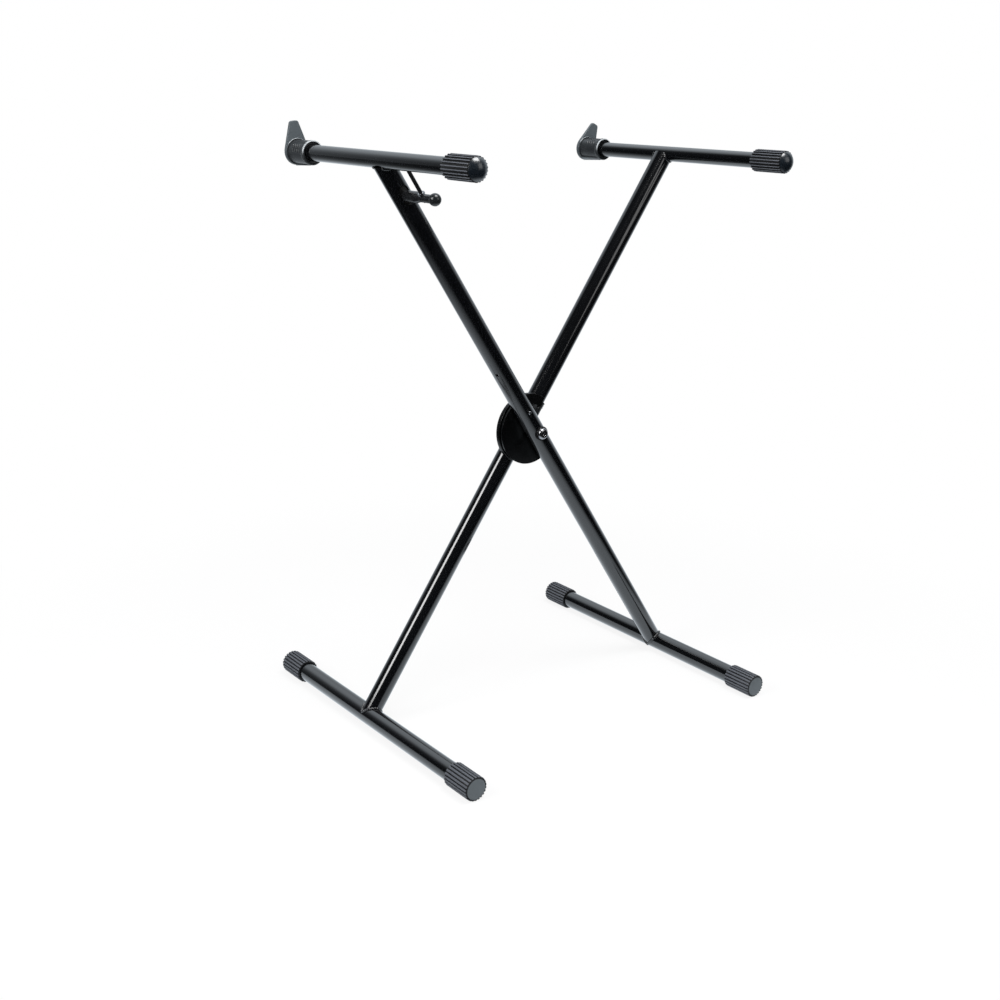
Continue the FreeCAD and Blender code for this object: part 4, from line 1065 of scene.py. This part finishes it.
# Lock. The steel pin's end shows in the slot of the front leg; its notched plate is screwed to the rear hub.
# Inside the leg a carrier, a rod and a slider join the pin to the trigger, and a spring pushes them down.
# The spring is held at its upper end and shortens as the trigger is pulled.
PIN_RADIUS = 2.5 * MM
PIN_HEIGHT = 41 * MM
PIN_FRONT = -14.8 * MM
PIN_BACK = 18.85 * MM
PIN_EDGE = 0.6 * MM
PIN_SIDES = 48
SPRING_FROM = 53.2 * MM
SPRING_TO = 118 * MM
SPRING_RADIUS = 7.3 * MM
SPRING_WIRE = 0.7 * MM
SPRING_TURNS = 14
SPRING_STEPS = 24
SPRING_WIRE_SIDES = 10
SPRING_GREY = (0.30, 0.30, 0.31, 1)
SPRING_PALE = (0.42, 0.42, 0.43, 1)
spring_steel = surface("spring_steel", SPRING_GREY, SPRING_PALE, cloud=120, gloss=(0.28, 0.40), grain=1500,
                       height=0.03 * MM, metal=1.0)
pin = turned([(0, PIN_FRONT), (PIN_RADIUS - PIN_EDGE, PIN_FRONT), (PIN_RADIUS, PIN_FRONT + PIN_EDGE),
              (PIN_RADIUS, PIN_BACK - PIN_EDGE), (PIN_RADIUS - PIN_EDGE, PIN_BACK), (0, PIN_BACK)],
             sides=PIN_SIDES)
pin.transform(FRONT_LEG @ Matrix.Translation((0, 0, PIN_HEIGHT)) @ Matrix.Rotation(-math.pi / 2, 4, "X"))
piece("lock_pin_steel", pin, zinc_steel, "trigger", "zinc_steel", "lock_pin", crisp=30)
dress(zinc_steel, "lock_plate", "lock_plate_screws", "pull_rod", "spring_washer", "spring_stop_pins")
dress(nylon, "trigger_slider", "lock_pin_carrier")

open_pitch = (SPRING_TO - SPRING_FROM - 6 * SPRING_WIRE) / (SPRING_TURNS - 2)
coil_rows = []
for step in range(SPRING_TURNS * SPRING_STEPS + 1):
    turns = step / SPRING_STEPS
    closed = min(turns, 1) + max(turns - SPRING_TURNS + 1, 0)
    z = SPRING_FROM + SPRING_WIRE + closed * 2 * SPRING_WIRE + (turns - closed) * open_pitch
    out = Vector((math.cos(2 * math.pi * turns), math.sin(2 * math.pi * turns), 0))
    middle = out * SPRING_RADIUS + Vector((0, 0, z))
    coil_rows.append([middle + SPRING_WIRE * (out * math.cos(turn) + Vector((0, 0, math.sin(turn))))
                      for turn in full_turn(SPRING_WIRE_SIDES)])
coil = capped(coil_rows)
coil.transform(FRONT_LEG)
spring = piece("return_coil", coil, spring_steel, "front_frame", "spring_steel", "return_spring", crisp=60)
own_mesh(spring)

# Studio. A pale floor and a white surround with soft lamps: one overhead, one on the left, two in front.
# The camera stands where the photograph was taken from, in front, to the left and a little above.
CAMERA_AT = (-1.1965, -1.4714, 0.9008)
CAMERA_YAW, CAMERA_PITCH, CAMERA_ROLL = (math.radians(turn) for turn in (37.937, 17.434, 1.274))
CAMERA_LENS = 47.03
CAMERA_SENSOR = 36
FLOOR_HALF = 6
FLOOR_DROP = -0.0003
FLOOR_WHITE = (0.90, 0.90, 0.91, 1)
FLOOR_SHOWN = 0.86
FLOOR_FADE = (0.45, 1.1)
FLOOR_DIM = 0.01
POOL_X, POOL_Y = 0.1, 0.12
POOL_EDGE = (0.35, 0.88)
BEHIND_EDGE = (0.2, 1)
BEHIND_GLOW = 0.8
BACKDROP_EDGE = (0.15, 0.72)
BACKDROP_RISE = (0.45, 0.7)
BACKDROP_GLOW = 0.6
BACKDROP_TOP_GLOW = 0.5
SURROUND_DIM = 0.02
SURROUND_FILL = 0.35
PLAIN_WHITE = (1, 1, 1, 1)
COOL_WHITE = (0.85, 0.93, 1.0, 1)

ahead = Vector((math.sin(CAMERA_YAW) * math.cos(CAMERA_PITCH), math.cos(CAMERA_YAW) * math.cos(CAMERA_PITCH),
                -math.sin(CAMERA_PITCH)))
level = Vector((math.cos(CAMERA_YAW), -math.sin(CAMERA_YAW), 0))
above = level.cross(ahead)
right = math.cos(CAMERA_ROLL) * level + math.sin(CAMERA_ROLL) * above
upward = math.cos(CAMERA_ROLL) * above - math.sin(CAMERA_ROLL) * level
stand_at = Matrix((right, upward, -ahead)).transposed().to_4x4()
stand_at.translation = CAMERA_AT
camera = bpy.data.objects.new("camera", bpy.data.cameras.new("camera"))
camera.matrix_world = stand_at
camera.data.lens = CAMERA_LENS
camera.data.sensor_width = CAMERA_SENSOR
bpy.context.scene.collection.objects.link(camera)
bpy.context.scene.camera = camera
bpy.context.scene.view_settings.view_transform = "Standard"


def rays(net):
    """Which rays reach a shader: those of the camera, straight or through clear things, and glossy ones."""
    seen, clear, glossy = (net.node("ShaderNodeLightPath", output="Is %s Ray" % kind)
                           for kind in ("Camera", "Transmission", "Glossy"))
    return seen + clear, glossy


def facing(east, north):
    """How far a heading turns to the backdrop behind the stand: 1 straight at it, 0 across it."""
    return ((east * math.sin(CAMERA_YAW) + north * math.cos(CAMERA_YAW))
            / (east * east + north * north + 0.0001) ** 0.5)


floor_white = bpy.data.materials.new("floor_white")
net = blank(floor_white)
direct, glossy = rays(net)
spot = net.node("ShaderNodeTexCoord", output="Object")
east, north = split(spot)[:2]
away = net.node("ShaderNodeVectorMath", {"operation": "LENGTH"}, {0: spot}, "Value")
# For glossy rays the floor glows: a painted pool of reflected light round the stand, a glow towards the back,
# dim elsewhere.
pool = 1 - (((east - POOL_X) ** 2 + (north - POOL_Y) ** 2) ** 0.5).between(*POOL_EDGE)
behind = facing(east, north).between(*BEHIND_EDGE) * BEHIND_GLOW
mirrored = FLOOR_DIM + pool + (1 - pool) * behind
glow = net.node("ShaderNodeEmission", None, {"Color": mixed(glossy, PLAIN_WHITE, COOL_WHITE),
                                             "Strength": direct + glossy * mirrored})
chalk = net.node("ShaderNodeBsdfDiffuse", None, {"Color": FLOOR_WHITE})
shown = FLOOR_SHOWN + away.between(*FLOOR_FADE) * (1 - FLOOR_SHOWN)
share = net.node("ShaderNodeMixShader", None, {0: direct * shown + glossy, 1: chalk, 2: glow})
net.node("ShaderNodeOutputMaterial", None, {"Surface": share})
floor_shape = bmesh.new()
corners = [(x * FLOOR_HALF, y * FLOOR_HALF, FLOOR_DROP) for x, y in ((-1, -1), (1, -1), (1, 1), (-1, 1))]
floor_shape.faces.new([floor_shape.verts.new(corner) for corner in corners])
floor = loose(floor_shape)
floor.name = "floor"
floor.data.materials.append(floor_white)

studio = bpy.data.worlds.new("studio")
net = blank(studio)
direct, glossy = rays(net)
east, north, rise = split(net.node("ShaderNodeTexCoord", output="Generated"))
top_glow = rise.between(*BACKDROP_RISE) * BACKDROP_TOP_GLOW
backdrop = facing(east, north).between(*BACKDROP_EDGE) * (BACKDROP_GLOW + top_glow)
mirrored = glossy * (SURROUND_DIM + backdrop) + (1 - glossy) * SURROUND_FILL
light = net.node("ShaderNodeBackground", None, {"Color": mixed(glossy, PLAIN_WHITE, COOL_WHITE),
                                                "Strength": direct + (1 - direct) * mirrored})
net.node("ShaderNodeOutputWorld", None, {"Surface": light})
bpy.context.scene.world = studio


def softbox(name, at, aim, width, height, watts, mirrored=True):
    """A soft rectangular lamp that shines from one point towards another."""
    lamp = bpy.data.lights.new(name, "AREA")
    lamp.shape = "RECTANGLE"
    lamp.size = width
    lamp.size_y = height
    lamp.energy = watts
    made = bpy.data.objects.new(name, lamp)
    made.location = at
    made.rotation_euler = (Vector(aim) - Vector(at)).to_track_quat("-Z", "Y").to_euler()
    made.visible_camera = False
    made.visible_glossy = mirrored
    bpy.context.scene.collection.objects.link(made)


softbox("overhead", at=(0.05, -0.65, 2.4), aim=(0, 0, 0.5), width=1.1, height=0.8, watts=34)
softbox("left_box", at=(-1.77, -0.02, 1.37), aim=(-0.17, 0.017, 0.17), width=0.75, height=0.9, watts=20)
softbox("front_box", at=(0.7, -1.9, 1.5), aim=(0, 0, 0.5), width=1.2, height=1.2, watts=6)
softbox("front_fill", at=(-0.9, -2.0, 1.3), aim=(0, 0, 0.4), width=1.0, height=1.0, watts=8, mirrored=False)
